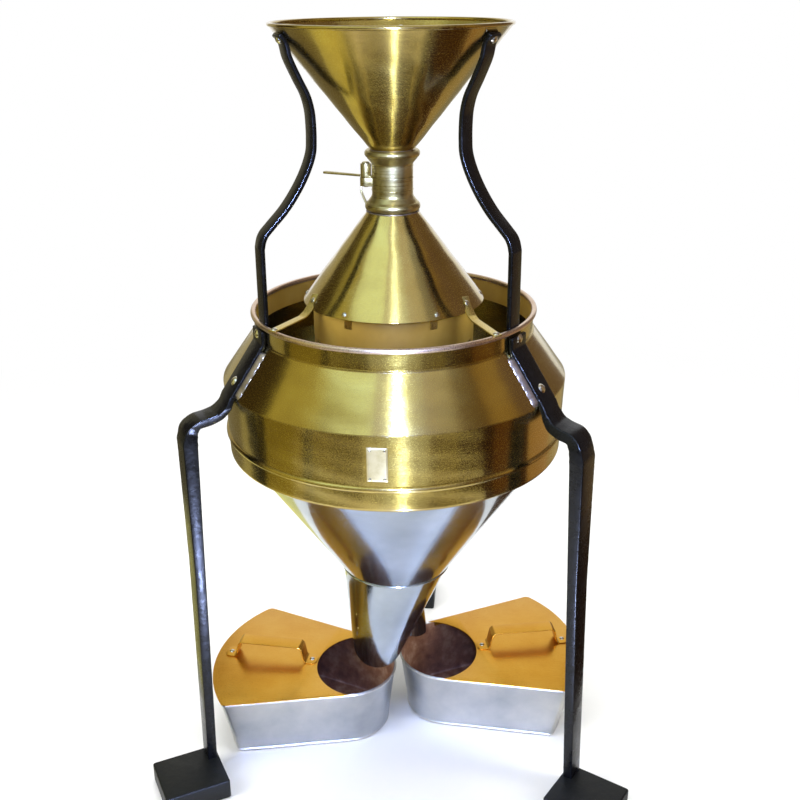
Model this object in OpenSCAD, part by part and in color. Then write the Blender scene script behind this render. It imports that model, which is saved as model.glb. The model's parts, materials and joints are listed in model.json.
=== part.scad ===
// Conical sample divider for grain and seed, built as separate pieces.
// Millimetres. The floor is at z = 0, z points up, the front is toward -y.
// Angles round the machine are taken from the front, positive toward +x.

/* [Hopper] */
// Height of the whole divider, floor to hopper rim
total_h = 813; // [790:1:840]
// Outer diameter of the hopper over its rolled rim
hopper_d = 239.2; // [232:0.2:244]
// Radius of the hopper's rolled rim
hopper_roll = 2; // [1.8:0.1:2.3]
// Thickness of the brass sheet
sheet = 1.2; // [1:0.1:1.4]
// Radius of the wire in the hopper's rim
hopper_wire = 0.9; // [0.8:0.1:1]

/* [Throat and gate] */
// Top of the throat's upper flange
throat_top = 692; // [688:1:696]
// Bottom of the throat's lower flange
throat_foot = 630; // [627:1:633]
// Bore of the throat, radius
bore_r = 17.8; // [17:0.1:18.4]
// Outside radius of the throat's tube
tube_r = 21; // [20.6:0.1:21.6]
// Radius of the throat's upper flange
upper_flange_r = 28.1; // [27:0.1:29]
// Radius of the throat's lower flange
lower_flange_r = 28.4; // [27.5:0.1:29.5]
// Height of the gate slot above the lower flange's foot
slot_rise = 33.5; // [32:0.5:35]
// Length of the middle collar
collar_len = 24.4; // [23:0.2:26]
// Thickness of the gate plate
gate_t = 1.6; // [1.4:0.1:2]
// Play above and below the gate plate
gate_play = 0.2; // [0.15:0.05:0.3]
// Distance of the gate's pivot from the machine axis
pivot_r = 27; // [26.8:0.1:27.6]
// Direction of the gate's pivot, from the front
gate_az = -88; // [-95:1:-80]
// Radius of the pivot pin
pin_r = 2.2; // [2:0.1:2.5]
// Running clearance of the barrel on the pin
pin_fit = 0.05; // [0.03:0.01:0.08]
// Length of the lever from the pivot
lever_len = 50.5; // [46:0.5:54]
// Angle by which the lever is set back from the gate's line
lever_set = 25; // [20:1:30]

/* [Hood and channels] */
// Radius of the hood at its lower edge
hood_r = 95.3; // [93:0.1:98]
// Height of the hood's lower edge
hood_z = 538; // [535:1:541]
// Number of channels, an even number
channels = 38; // [30:2:38]
// Inner radius of the channel ring
ring_in = 58; // [56:0.5:60]
// Outer radius of the channel ring
ring_out = 84; // [83:0.5:85]
// Height of the foot of the channels
ring_foot = 455; // [452:1:458]
// Length of the partitions
fin_h = 86; // [80:1:88]
// Height of the top of the chutes
chute_top = 500; // [497:1:503]
// Reach of the outward chutes
chute_out = 100; // [97:1:103]
// Reach of the inward chutes
chute_in = 45; // [42:1:48]

/* [Body] */
// Outside radius of the body's collar
collar_r = 147.5; // [145:0.5:150]
// Height of the middle of the body's rolled rim
rim_z = 528; // [525:1:530]
// Radius of the body's rolled rim
rim_roll = 2.8; // [2.5:0.1:3]
// Radius of the wire in the body's rim
rim_wire = 1.6; // [1.3:0.1:1.7]
// Height where the shoulder cone meets the collar
step_z = 507; // [505:1:509]
// Height of the edge between shoulder and band
shoulder_z = 457.5; // [455:0.5:460]
// Radius of the body at that edge
body_r = 184; // [181:0.5:187]
// Height of the half-round bead
bead_z = 400.5; // [397:0.5:404]
// Draw-in of the band from edge to bead
band_taper = 2.5; // [2:0.1:3]
// Height of the lower edge of the band
band_foot = 376; // [373:1:379]
// Width of the nameplate
plate_w = 20; // [18:0.5:22]
// Height of the nameplate
plate_h = 36; // [33:1:38]

/* [Funnels and spouts] */
// Radius of the outer funnel at the top
funnel_r = 168; // [165:0.5:171]
// Radius of the outer funnel at the foot
funnel_foot_r = 61; // [59:0.5:63]
// Height of the outer funnel's foot
funnel_foot = 217; // [213:1:221]
// Radius of the inner funnel at the foot
inner_foot_r = 27; // [25.5:0.5:28]
// Height of the inner funnel's foot
inner_foot = 250; // [246:1:254]
// Sideways lean of the outer spout at its mouth
spout_lean = 24; // [22:0.5:26]
// Radius of the outer spout at its mouth
spout_r = 28; // [27:0.5:29]
// Height of the outer spout's mouth on its own axis
mouth_z = 102; // [100:0.5:104]
// Tilt of the outer spout's mouth
mouth_tilt = 33; // [30:1:35]
// Radius of the inner spout at its mouth
inner_spout_r = 14.5; // [14:0.1:15.5]
// Height of the inner spout's mouth
inner_mouth_z = 101; // [99:1:103]

/* [Legs and bars] */
// Direction of the front legs, either side of the front
leg_az = 60; // [58:0.5:61]
// Radius at which a leg starts down
leg_top_r = 230.5; // [228:0.5:233]
// Radius at which a leg meets its foot
leg_foot_r = 238.5; // [236:0.5:241]
// Width of the strap on the body
strap_w = 28; // [26:0.5:30]
// Width of a leg at the foot
leg_w = 21; // [19:0.5:23]
// Radial thickness of a leg at the top
leg_t = 16; // [14.5:0.5:17]
// Sideways set of a leg's top against its strap
leg_set = 8; // [6:0.5:9]
// Height of a foot block
foot_h = 23; // [21:0.5:25]
// Radial length of a foot block
foot_l = 72; // [68:1:76]
// Width of a foot block
foot_w = 66; // [62:1:70]
// Width of a bar that holds the hopper
bar_w = 19.5; // [18:0.5:21]
// Thickness of a bar that holds the hopper
bar_t = 5; // [4.6:0.1:5.4]
// Radius of the bars at their waist
waist_r = 86; // [84:0.5:88]
// Width of the strips between hood and rim
strut_w = 9; // [8:0.5:10]

/* [Pans] */
// Height of a pan with its rim
pan_h = 74.8; // [72:0.2:77]
// Radius of a pan's wide end about its pole
pan_far = 158; // [155:0.5:161]
// Radius of a pan's narrow end about its pole
pan_near = 60; // [58:0.5:61]
// Half angle between a pan's sides
pan_half = 16.8; // [15.8:0.2:17.4]
// Draw-in of the walls from rim to floor
pan_draft = 9; // [7:0.5:11]
// Draw-in of the wide end from rim to floor
pan_draft_far = 16; // [13:0.5:18]
// Overhang of the lid beyond the pan's wall
lid_over = 2.4; // [2.2:0.1:2.8]
// Clearance of the lid's flange in the pan
lid_fit = 0.5; // [0.4:0.1:0.7]
// Radius of the cut-out in the lid
cut_r = 61; // [59:0.5:62]
// Offset of the cut-out from the pole toward the narrow end
cut_off = 27; // [25:0.5:29]
// Height of the handle above the lid
grip_h = 22; // [20:0.5:24]
// Width of the handle's strap
grip_w = 19; // [17:0.5:20]

/* [Hidden] */
$fn = 96;
tin = 1;
mount_az = [-leg_az, leg_az, 180];
k_hop = (hopper_d / 2 - hopper_roll - bore_r) / (total_h - hopper_roll - (throat_top - 3.5));
th_hop = sheet * sqrt(1 + k_hop * k_hop);
seat_z = throat_top - 3.5;
hop_a = [hopper_d / 2 - hopper_roll, total_h - hopper_roll];
slot_z = throat_foot + slot_rise;
slot_h = gate_t + 2 * gate_play;
mid_lo = throat_foot + 21.6;
mid_hi = mid_lo + collar_len;
hood_top_r = 26.5;
k_hood = (hood_r - hood_top_r) / (throat_foot - hood_z);
th_hood = sheet * sqrt(1 + k_hood * k_hood);
pitch = 360 / channels;
fin_t = 0.8;
wall = 1;
cone_top = throat_foot + (hood_top_r - th_hood - (ring_out - ring_in)) / k_hood;
k_sh = (body_r - collar_r - 2) / (step_z - 1 - shoulder_z);
th_sh = sheet * sqrt(1 + k_sh * k_sh);
c_sh = 1 / sqrt(1 + k_sh * k_sh);
s_sh = k_sh / sqrt(1 + k_sh * k_sh);
collar_in = collar_r - sheet;
roll_c = [collar_in - 0.9 + rim_roll, rim_z];
band_low = body_r - band_taper;
k_fun = (funnel_r - funnel_foot_r) / (band_foot - funnel_foot);
th_fun = sheet * sqrt(1 + k_fun * k_fun);
k_inf = (ring_out + wall + sheet - inner_foot_r) / (ring_foot - 3 - inner_foot);
th_inf = sheet * sqrt(1 + k_inf * k_inf);
bar_r = collar_in - bar_t / 2;
strut_turn = 13;
strut_r = 90;
strut_z = hood_z + (hood_r - strut_r) / k_hood;
strut_t = 1.5;
rivet_z = rim_z - 9;
low_rivet_z = shoulder_z + 12.5;
pan_l = [-62, -10, 175.2];
pan_rt = [62, 30, 11.7];
pan_lift = 0.2;
lid_gap = 0.1;
lid_t = 1;
rim_h = 3;
rim_out = 1.8;
corner = 5;
lean_dir = 185;
// How far a front foot block reaches behind the middle of its leg
foot_back = 12;
// The box round all pieces is centred on the origin by this shift
axis_y = -((leg_foot_r + foot_l - 8) - front_y()) / 2;

// Most forward point of the front foot blocks, as a distance from the axis
function front_y() = (leg_foot_r + foot_l - 8) * cos(leg_az) + (foot_w - foot_back) * sin(leg_az);

// Helpers for bent strips: unit direction, left normal, mitred side points
function unit(a, b) = (b - a) / norm(b - a);
function turned(d) = [-d[1], d[0]];
function side(p, i, h) = let (n = len(p) - 1,
    d0 = i > 0 ? unit(p[i - 1], p[i]) : unit(p[0], p[1]),
    d1 = i < n ? unit(p[i], p[i + 1]) : unit(p[n - 1], p[n]),
    m = turned(d0) + turned(d1)) p[i] + m * (2 * h / (m * m));
function ribbon(p, t) = concat([for (i = [0 : len(p) - 1]) side(p, i, t[i] / 2)],
    [for (i = [len(p) - 1 : -1 : 0]) side(p, i, -t[i] / 2)]);
function same(p, t) = [for (q = p) t];
function arc(c, r, a0, a1, n) = [for (i = [0 : n]) let (a = a0 + (a1 - a0) * i / n)
    c + r * [cos(a), sin(a)]];

// Outline of a pan about its pole, wide end toward +x, moved outward by e
function wedge(near, far, e) = let (f = corner, w = pan_half, q = 90 + w,
    t = q - acos((near - f) / (far - f)), k = far - f)
    concat(arc([0, 0], far + e, -t, t, 14),
        arc([k * cos(t), k * sin(t)], f + e, t + (q - t) / 5, q, 4),
        arc([0, 0], near + e, q, 360 - q, 22),
        arc([k * cos(t), -k * sin(t)], f + e, 360 - q, 360 - t - (q - t) / 5, 4));

// Everything is modelled about the machine axis and moved back by axis_y
module place() { translate([0, axis_y, 0]) children(); }
// Turns local +x to the direction a from the front
module at_az(a) { rotate([0, 0, a - 90]) children(); }
// Stands a radial profile up and gives it the width w, centred
module upright(w) { rotate([90, 0, 0]) translate([0, 0, -w / 2]) linear_extrude(w) children(); }

// Rivet along +z: a shank of the length l from z = 0, a domed head at either end
module dome(r, h) {
    R = (r * r + h * h) / (2 * h);
    intersection() {
        translate([0, 0, h - R]) sphere(r = R);
        cylinder(r = r, h = h);
    }
}
module rivet(l, s, r, h) {
    cylinder(r = s, h = l);
    translate([0, 0, l]) dome(r, h);
    mirror([0, 0, 1]) dome(r, h);
}
module shank(l, s) { translate([0, 0, -5]) cylinder(r = s, h = l + 10); }

// Places on the machine where things are riveted
module at_bar_top(a) {
    z = total_h - 11.8;
    r = hop_r(z);
    at_az(a) translate([r, 0, z]) rotate([0, 90 + atan(k_hop), 0]) children();
}
module at_collar(a) {
    at_az(a) translate([collar_in - bar_t + 0.2, 0, rivet_z]) rotate([0, 90, 0]) children();
}
module at_shoulder(a) {
    at_az(a) translate([body_r - (low_rivet_z - shoulder_z) * k_sh, 0, low_rivet_z])
        rotate([0, 90 - atan(k_sh), 0]) translate([0, 0, -sheet]) children();
}
module at_hood(a, r) {
    at_az(a) translate([r, 0, hood_z + (hood_r - r) / k_hood])
        rotate([0, 90 - atan(k_hood), 0]) children();
}
function hop_r(z) = bore_r + th_hop + k_hop * (z - seat_z);
function strut_turn_of(i) = i == 0 ? strut_turn : i == 1 ? -strut_turn : strut_turn;

// Hopper: cone sheet rolled round a wire at the rim
module hopper() color("#b9a04a") difference() {
    rotate_extrude() difference() {
        union() {
            polygon([[bore_r, seat_z], [bore_r + th_hop, seat_z],
                [hop_a[0] + th_hop, hop_a[1]], hop_a]);
            translate(hop_a) circle(r = hopper_roll);
        }
        translate(hop_a) circle(r = hopper_wire);
        translate(hop_a) rotate(-55) square([4, 0.5]);
    }
    for (a = mount_az) at_bar_top(a) shank(bar_t + sheet, 2);
}
module hopper_wire_ring() color("#a08c48") rotate_extrude() translate(hop_a) circle(r = hopper_wire);

// Throat: flanged casting, slotted collar, flanged casting
module throat_upper() color("#a49569") rotate_extrude() difference() {
    union() {
        polygon([[bore_r, mid_hi], [tube_r, mid_hi], [tube_r, mid_hi + 2],
            [upper_flange_r - 2.1, throat_top - 8], [upper_flange_r - 4, throat_top],
            [bore_r, throat_top]]);
        translate([upper_flange_r - 4, throat_top - 4]) circle(r = 4);
    }
    polygon([[0, seat_z], [bore_r + th_hop, seat_z],
        [bore_r + th_hop + k_hop * 5, seat_z + 5], [0, seat_z + 5]]);
    translate([0, mid_hi - 1]) square([bore_r, 30]);
}
module gate_collar() color("#9a8a58") difference() {
    translate([0, 0, mid_lo]) cylinder(r = tube_r, h = collar_len);
    translate([0, 0, mid_lo - 1]) cylinder(r = bore_r, h = collar_len + 2);
    translate([0, 0, slot_z]) cylinder(r = tube_r - 1.3, h = slot_h);
    at_az(gate_az) translate([-40, -6.5, slot_z]) cube([80, 60, slot_h]);
}
module throat_lower() color("#a49569") rotate_extrude() difference() {
    union() {
        polygon([[bore_r, throat_foot], [lower_flange_r - 5, throat_foot],
            [lower_flange_r - 3, throat_foot + 10], [tube_r, throat_foot + 15],
            [tube_r, mid_lo], [bore_r, mid_lo]]);
        translate([lower_flange_r - 5, throat_foot + 5]) circle(r = 5);
    }
    translate([0, throat_foot - 1]) square([bore_r, 30]);
}

// Swing gate: plate with its barrel, lever, pin, fixed bracket and brace
barrel_r = 5.4;
barrel_top = slot_z + 13.8;
arm_lo = slot_z - 8.5;
module gate_plate() color("#b8ab78") at_az(gate_az) difference() {
    union() {
        translate([0, 0, slot_z + gate_play]) {
            cylinder(r = tube_r - 1.4, h = gate_t);
            intersection() {
                cylinder(r = tube_r + 0.4, h = gate_t);
                translate([-30, 2, 0]) cube([60, 30, gate_t]);
            }
            translate([14, -5, 0]) cube([pivot_r - 14, 10, gate_t]);
            translate([pivot_r, 0, 0]) cylinder(r = barrel_r, h = gate_t);
        }
        translate([pivot_r, 0, slot_z + gate_play]) cylinder(r = barrel_r, h = barrel_top - slot_z - gate_play);
    }
    translate([pivot_r, 0, slot_z - 1]) cylinder(r = pin_r + pin_fit, h = 30);
}
module gate_lever() color("#bfbc9c") at_az(gate_az) translate([pivot_r, 0, 0]) rotate([0, 0, -lever_set])
    difference() {
        union() {
            translate([0, 0, slot_z + 0.4]) linear_extrude(2)
                polygon([[0, -2], [14, -2.2], [lever_len - 3.5, -3.5], [lever_len - 3.5, 3.5], [14, 2.2], [0, 2]]);
            translate([lever_len - 3.5, 0, slot_z + 0.4]) cylinder(r = 3.5, h = 2);
        }
        translate([0, 0, slot_z]) cylinder(r = barrel_r, h = 30);
    }
module gate_pin() color("#c8bf90") at_az(gate_az) translate([pivot_r, 0, 0]) {
    translate([0, 0, arm_lo]) cylinder(r = pin_r, h = barrel_top + 0.2 - arm_lo);
    translate([0, 0, barrel_top + 0.2]) dome(4.2, 2);
    translate([0, 0, arm_lo]) mirror([0, 0, 1]) dome(3.2, 1.4);
}
module gate_bracket() color("#8f7f4c") at_az(gate_az) difference() {
    union() {
        translate([pivot_r, 0, arm_lo]) cylinder(r = 6, h = slot_z - arm_lo);
        translate([15, -6, arm_lo]) cube([pivot_r - 15, 12, slot_z - arm_lo]);
    }
    translate([0, 0, arm_lo - 1]) cylinder(r = tube_r, h = 30);
    translate([pivot_r, 0, arm_lo - 1]) cylinder(r = pin_r, h = 30);
}
module gate_brace() color("#8f7f4c") at_az(gate_az) difference() {
    p = [[pivot_r + 4.9, arm_lo], [pivot_r + 4.9, arm_lo - 6],
        [pivot_r + 2.6, arm_lo - 12], [lower_flange_r - 1.2, throat_foot + 7.5]];
    upright(7) polygon(ribbon(p, same(p, 1.5)));
    rotate_extrude() translate([lower_flange_r - 5, throat_foot + 5]) circle(r = 5);
}

// Hood over the channels, with an in-turned flange under the throat
module hood() color("#a39a4c") difference() {
    rotate_extrude() polygon([[bore_r + 1, throat_foot], [hood_top_r, throat_foot], [hood_r, hood_z],
        [hood_r - th_hood, hood_z], [hood_top_r - th_hood + k_hood * sheet, throat_foot - sheet],
        [bore_r + 1, throat_foot - sheet]]);
    for (i = [0 : 5]) at_hood(33 + 60 * i, hood_r - 3.4) shank(4, 1.2);
    for (i = [0 : 2]) at_hood(mount_az[i], strut_r) shank(4, 1.6);
}
module hood_clips() color("#8a7a40") for (i = [0 : 5]) at_az(33 + 60 * i) difference() {
    r0 = ring_out + wall;
    h1 = (hood_r - th_hood - 0.1 - r0) / k_hood;
    upright(8) polygon([[r0, hood_z - 12], [r0 + 1.2, hood_z - 12],
        [r0 + 1.2, hood_z + h1 - (th_hood + 1.2) / k_hood],
        [hood_in(0.8) - 0.1 - th_hood, hood_z + 0.8], [hood_in(0.8) - 0.1, hood_z + 0.8],
        [r0, hood_z + h1]]);
    at_hood(90, hood_r - 3.4) shank(4, 1.2);
}
function hood_in(h) = hood_r - th_hood - k_hood * h;
module hood_rivets() color("#d8cf9a") for (i = [0 : 5])
    at_hood(33 + 60 * i, hood_r - 3.4) translate([0, 0, -2.5]) rivet(2.5, 1.2, 2.6, 1.2);

// Inside the hood: spreader cone and the two walls of the channel ring
module spreader_cone() color("#a38336") {
    r1 = ring_in;
    z1 = cone_top - r1 / k_hood;
    t = sheet * sqrt(1 + 1 / (k_hood * k_hood));
    rotate_extrude() polygon([[0, cone_top], [r1, z1], [r1 - wall, z1 + wall / k_hood - t], [0, cone_top - t]]);
}
module channel_inner_wall() color("#8c6b2c") difference() {
    z1 = cone_top - ring_in / k_hood;
    t = sheet * sqrt(1 + 1 / (k_hood * k_hood));
    rotate_extrude() polygon([[ring_in - wall, ring_foot], [ring_in, ring_foot], [ring_in, z1],
        [ring_in - wall, z1 + wall / k_hood - t]]);
    for (i = [1 : 2 : channels - 1]) rotate([0, 0, i * pitch])
        translate([ring_in - 3, -4.4, chute_top - 33]) cube([6, 8.8, 33]);
}
module channel_outer_wall() color("#8c6b2c") difference() {
    z1 = throat_foot + (hood_top_r - th_hood - ring_out) / k_hood;
    rotate_extrude() polygon([[ring_out, ring_foot], [ring_out + wall, ring_foot],
        [ring_out + wall, z1 - wall / k_hood], [ring_out, z1]]);
    for (i = [0 : 2 : channels - 1]) rotate([0, 0, i * pitch])
        translate([ring_out - 3, -6.5, chute_top - 31.2]) cube([6, 13, 31.2]);
}
module partitions() color("#9c7c38") for (i = [0 : channels - 1]) rotate([0, 0, (i + 0.5) * pitch])
    translate([ring_in, -fin_t / 2, ring_foot]) cube([ring_out - ring_in - 0.02, fin_t, fin_h]);
module chute(i, r0, r1) {
    rotate([0, 0, (i - 0.5) * pitch + 0.4]) rotate_extrude(angle = pitch - 0.8)
        polygon([[r0, chute_top], [r1, ring_foot], [r1, ring_foot - 1.5], [r0, chute_top - 1.5]]);
}
module outward_chutes() color("#9c7c38") for (i = [0 : 2 : channels - 1]) chute(i, ring_in, chute_out);
module inward_chutes() color("#9c7c38") for (i = [1 : 2 : channels - 1]) chute(i, ring_out, chute_in);

// Funnels and spouts
module inner_funnel() color("#9aa0a4") rotate_extrude() polygon([
    [ring_out + wall, ring_foot + 3], [ring_out + wall + sheet, ring_foot + 3],
    [ring_out + wall + sheet, ring_foot - 3], [inner_foot_r, inner_foot],
    [inner_foot_r - th_inf, inner_foot], [ring_out + wall + sheet - th_inf, ring_foot - 3],
    [ring_out + wall, ring_foot - 2.8]]);
// Leaning cone from the radius r0 at z0 on the axis to r1 about c at z1. It is smaller by e
// and reaches x past both ends
module slab(c, z, r) translate([c[0], c[1], z]) cylinder(r = r, h = 0.01, $fn = 48);
module lean_cone(r0, z0, c, r1, z1, e, x) {
    g = x / (z0 - z1);
    hull() {
        slab(-c * g, z0 + x - 0.01, r0 + (r0 - r1) * g - e);
        slab(c * (1 + g), z1 - x, r1 - (r0 - r1) * g - e);
    }
}
inner_c = [19.5, 29.8];
lean_c = spout_lean * [cos(lean_dir), sin(lean_dir)];
module inner_form(e, x) lean_cone(inner_foot_r, inner_foot, inner_c, inner_spout_r, inner_mouth_z, e, x);
module outer_form(e, x) lean_cone(funnel_foot_r, funnel_foot, lean_c, spout_r, mouth_z - 12, e, x);
module inner_spout() color("#8f969b") difference() {
    inner_form(0, 0);
    inner_form(sheet, 1);
}
module outer_spout() color("#9fa8ae") difference() {
    outer_form(0, 12);
    outer_form(sheet, 14);
    translate([0, 0, funnel_foot]) cylinder(r = funnel_foot_r + 20, h = 20);
    inner_form(0, 0);
    translate([lean_c[0], lean_c[1], mouth_z]) rotate([0, 0, 106.5]) rotate([0, -mouth_tilt, 0])
        translate([-120, -120, -200]) cube([240, 240, 200]);
}
module outer_funnel() color("#9aa0a4") rotate_extrude() polygon([
    [funnel_r, band_foot], [funnel_foot_r, funnel_foot],
    [funnel_foot_r - th_fun, funnel_foot], [funnel_r - th_fun, band_foot]]);
module funnel_bead() color("#aab0b4") rotate_extrude() difference() {
    translate([funnel_foot_r + 1, funnel_foot + 1.6]) circle(r = 1.6);
    polygon([[0, funnel_foot - 1], [funnel_foot_r - k_fun, funnel_foot - 1],
        [funnel_foot_r + 6 * k_fun, funnel_foot + 6], [0, funnel_foot + 6]]);
}

// Body: rolled rim, collar, shoulder cone, band, bead
module rim_wire_ring() color("#a08c48") rotate_extrude() translate(roll_c) circle(r = rim_wire);
module body_collar() color("#a08c3c") difference() {
    rotate_extrude() difference() {
        union() {
            translate([collar_in, step_z - 3]) square([sheet, rim_z - step_z + 3]);
            translate(roll_c) circle(r = rim_roll);
        }
        translate(roll_c) circle(r = rim_wire);
        translate(roll_c) rotate(-50) square([4, 0.5]);
    }
    for (a = mount_az) at_collar(a) shank(20, 2.5);
    for (i = [0 : 2]) at_az(mount_az[i] + strut_turn_of(i))
        translate([roll_c[0], 0, rim_z + rim_wire - 0.4]) cylinder(r = 1.2, h = 5);
}
module body_shoulder() color("#94812b") difference() {
    zi = shoulder_z + (body_r - th_sh - collar_r) / k_sh;
    zo = shoulder_z + (body_r - collar_r - sheet) / k_sh;
    rotate_extrude() polygon([[body_r, shoulder_z], [collar_r + sheet, zo], [collar_r + sheet, zi + 2],
        [collar_r, zi + 2], [collar_r, zi], [body_r - th_sh, shoulder_z]]);
    for (a = mount_az) at_shoulder(a) shank(6, 2.5);
}
function band_r(z) = band_low + band_taper * (z - bead_z) / (shoulder_z - bead_z);
module band_skin(e, z0, z1) rotate_extrude() polygon([[0, z0], [band_r(z0) + e, z0],
    [band_r(z1) + e, z1], [0, z1]]);
module body_band() color("#806e26") difference() {
    rotate_extrude() polygon([[body_r, shoulder_z], [band_low, bead_z], [band_low - 0.5, band_foot],
        [funnel_r - 2, band_foot], [funnel_r - 2, band_foot + sheet],
        [band_low - 0.5 - sheet, band_foot + sheet], [band_low - sheet, bead_z],
        [body_r - sheet, shoulder_z]]);
    plate_pins(8);
}
module band_bead() color("#c9bf86") rotate_extrude() difference() {
    translate([band_low - 0.7, bead_z]) circle(r = 3.2);
    polygon(band_solid());
}
plate_z = bead_z + 9;
module nameplate() color("#b5a25a") difference() {
    intersection() {
        band_skin(0.8, plate_z, plate_z + plate_h);
        translate([-plate_w / 2, -body_r - 10, 0]) cube([plate_w, 40, total_h]);
    }
    band_skin(0, plate_z - 1, plate_z + plate_h + 1);
    plate_pins(8);
}
module plate_pins(l) for (x = [-1, 1], z = [plate_z + 3, plate_z + plate_h - 3])
    translate([x * (plate_w / 2 - 3), -body_r + 6, z]) rotate([90, 0, 0]) cylinder(r = 0.8, h = l);
module nameplate_pins() color("#d8cf9a") for (x = [-1, 1], z = [plate_z + 3, plate_z + plate_h - 3]) {
    y = -sqrt(pow(band_r(z) + 0.8, 2) - pow(plate_w / 2 - 3, 2));
    translate([x * (plate_w / 2 - 3), y, z]) rotate([90, 0, 0]) {
        translate([0, 0, -2]) cylinder(r = 0.8, h = 2.06);
        translate([0, 0, 0.06]) dome(1.5, 0.9);
    }
}

// Bars that hold the hopper, bent in to a waist and out to the collar
function bz(f) = rim_z + f * (total_h - rim_z);
function bar_path() = let (zt = total_h - 7.6, a = atan(k_hop), o = bar_t / 2 - 0.2,
    t = [hop_r(zt) + o * cos(a), zt - o * sin(a)], zu = total_h - 15,
    u = [hop_r(zu) + o * cos(a), zu - o * sin(a)], g = t[0] - waist_r, b = bar_r + 0.2 - waist_r) [
    t, u, [waist_r + 0.684 * g, bz(0.893)], [waist_r + 0.404 * g, bz(0.828)],
    [waist_r + 0.158 * g, bz(0.775)], [waist_r + 0.035 * g, bz(0.726)], [waist_r, bz(0.68)],
    [waist_r, bz(0.628)], [waist_r + 0.022 * b, bz(0.582)], [waist_r + 0.125 * b, bz(0.526)],
    [waist_r + 0.3 * b, bz(0.463)], [waist_r + 0.532 * b, bz(0.4)], [waist_r + 0.79 * b, bz(0.347)],
    [waist_r + 0.93 * b, bz(0.316)], [waist_r + 0.99 * b, bz(0.281)], [waist_r + b, bz(0.235)],
    [waist_r + b, step_z - 1]];
module bar(a) color("#5a5650") difference() {
    at_az(a) upright(bar_w) polygon(ribbon(bar_path(), same(bar_path(), bar_t)));
    rotate_extrude() polygon([[0, throat_top], [hop_r(throat_top), throat_top],
        [hop_r(total_h), total_h], [0, total_h]]);
    rotate_extrude() translate([collar_in, step_z - 3]) square([10, rim_z - step_z + 3]);
    rotate_extrude() translate(roll_c) circle(r = rim_roll);
    at_bar_top(a) shank(bar_t + sheet, 2);
    at_collar(a) shank(20, 2.5);
}
module bar_left() bar(mount_az[0]);
module bar_right() bar(mount_az[1]);
module bar_rear() bar(mount_az[2]);
module bar_rivets() color("#e0dcc8") for (a = mount_az) at_bar_top(a)
    translate([0, 0, -sheet - 0.1]) rivet(bar_t + sheet - 0.1, 2, 4.2, 2.2);
module collar_rivets() color("#8a8678") for (a = mount_az) at_collar(a)
    rivet(bar_t + sheet + 4.6, 2.5, 5, 2.4);
module shoulder_rivets() color("#8a8678") for (a = mount_az) at_shoulder(a)
    translate([0, 0, -0.08]) rivet(sheet + 5.06, 2.5, 5, 2.4);

// Legs: strap on the body, kicked out and down into the foot block
strap_c = 2.3;
strap_bend = [collar_r + strap_c, shoulder_z + (body_r - collar_r) / k_sh
    + (strap_c * s_sh + (strap_c * c_sh - strap_c) / k_sh)];
function leg_path() = [[collar_r + strap_c, rim_z - rim_roll - 1], strap_bend,
    [body_r + strap_c * c_sh, shoulder_z + strap_c * s_sh],
    [body_r + 6.5, shoulder_z - 9], [body_r + 14, shoulder_z - 17.5], [body_r + 25, shoulder_z - 21.5],
    [leg_top_r - 9, shoulder_z - 23.5], [leg_top_r - 2.5, shoulder_z - 31], [leg_top_r, shoulder_z - 45],
    [leg_top_r + (leg_foot_r - leg_top_r) * 0.25, 270], [leg_foot_r, foot_h - 10]];
module leg(a) color("#23262b") at_az(a) difference() {
    intersection() {
        upright(60) polygon(ribbon(leg_path(), [5, 5, 5.4, 7, 9, leg_t * 0.62, leg_t * 0.62, leg_t * 0.8, leg_t,
            leg_t * 0.72, leg_t * 0.66]));
        rotate([90, 0, 90]) linear_extrude(400) polygon([[-strap_w / 2, rim_z], [strap_w / 2, rim_z],
            [strap_w / 2, shoulder_z - 9], [strap_w / 2 - leg_set, shoulder_z - 31], [leg_w / 2, foot_h - 10],
            [leg_w / 2, 0], [-leg_w / 2, 0], [-leg_w / 2, foot_h - 10], [-strap_w / 2 - leg_set, shoulder_z - 31],
            [-strap_w / 2, shoulder_z - 9]]);
    }
    rotate_extrude() translate([0, step_z - 6]) square([collar_r, rim_z - step_z + 10]);
    rotate_extrude() polygon(shoulder_solid());
    rotate_extrude() polygon(band_solid());
    at_collar(90) shank(20, 2.5);
    at_shoulder(90) shank(6, 2.5);
}
function band_solid() = [[0, band_foot], [band_low - 0.5, band_foot], [band_low, bead_z],
    [body_r, shoulder_z], [0, shoulder_z]];
function shoulder_solid() = let (zi = shoulder_z + (body_r - th_sh - collar_r) / k_sh,
    zo = shoulder_z + (body_r - collar_r - sheet) / k_sh) [[0, shoulder_z], [body_r, shoulder_z],
    [collar_r + sheet, zo], [collar_r + sheet, zi + 2], [0, zi + 2]];
module leg_left() leg(mount_az[0]);
module leg_right() leg(mount_az[1]);
module leg_rear() leg(mount_az[2]);
module foot(a, y0) color("#222521") difference() {
    at_az(a) translate([leg_foot_r - 8, y0, 0]) cube([foot_l, foot_w, foot_h]);
    leg(a);
}
module foot_left() foot(mount_az[0], -foot_back);
module foot_right() foot(mount_az[1], foot_back - foot_w);
module foot_rear() foot(mount_az[2], -foot_w / 2);

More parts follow.
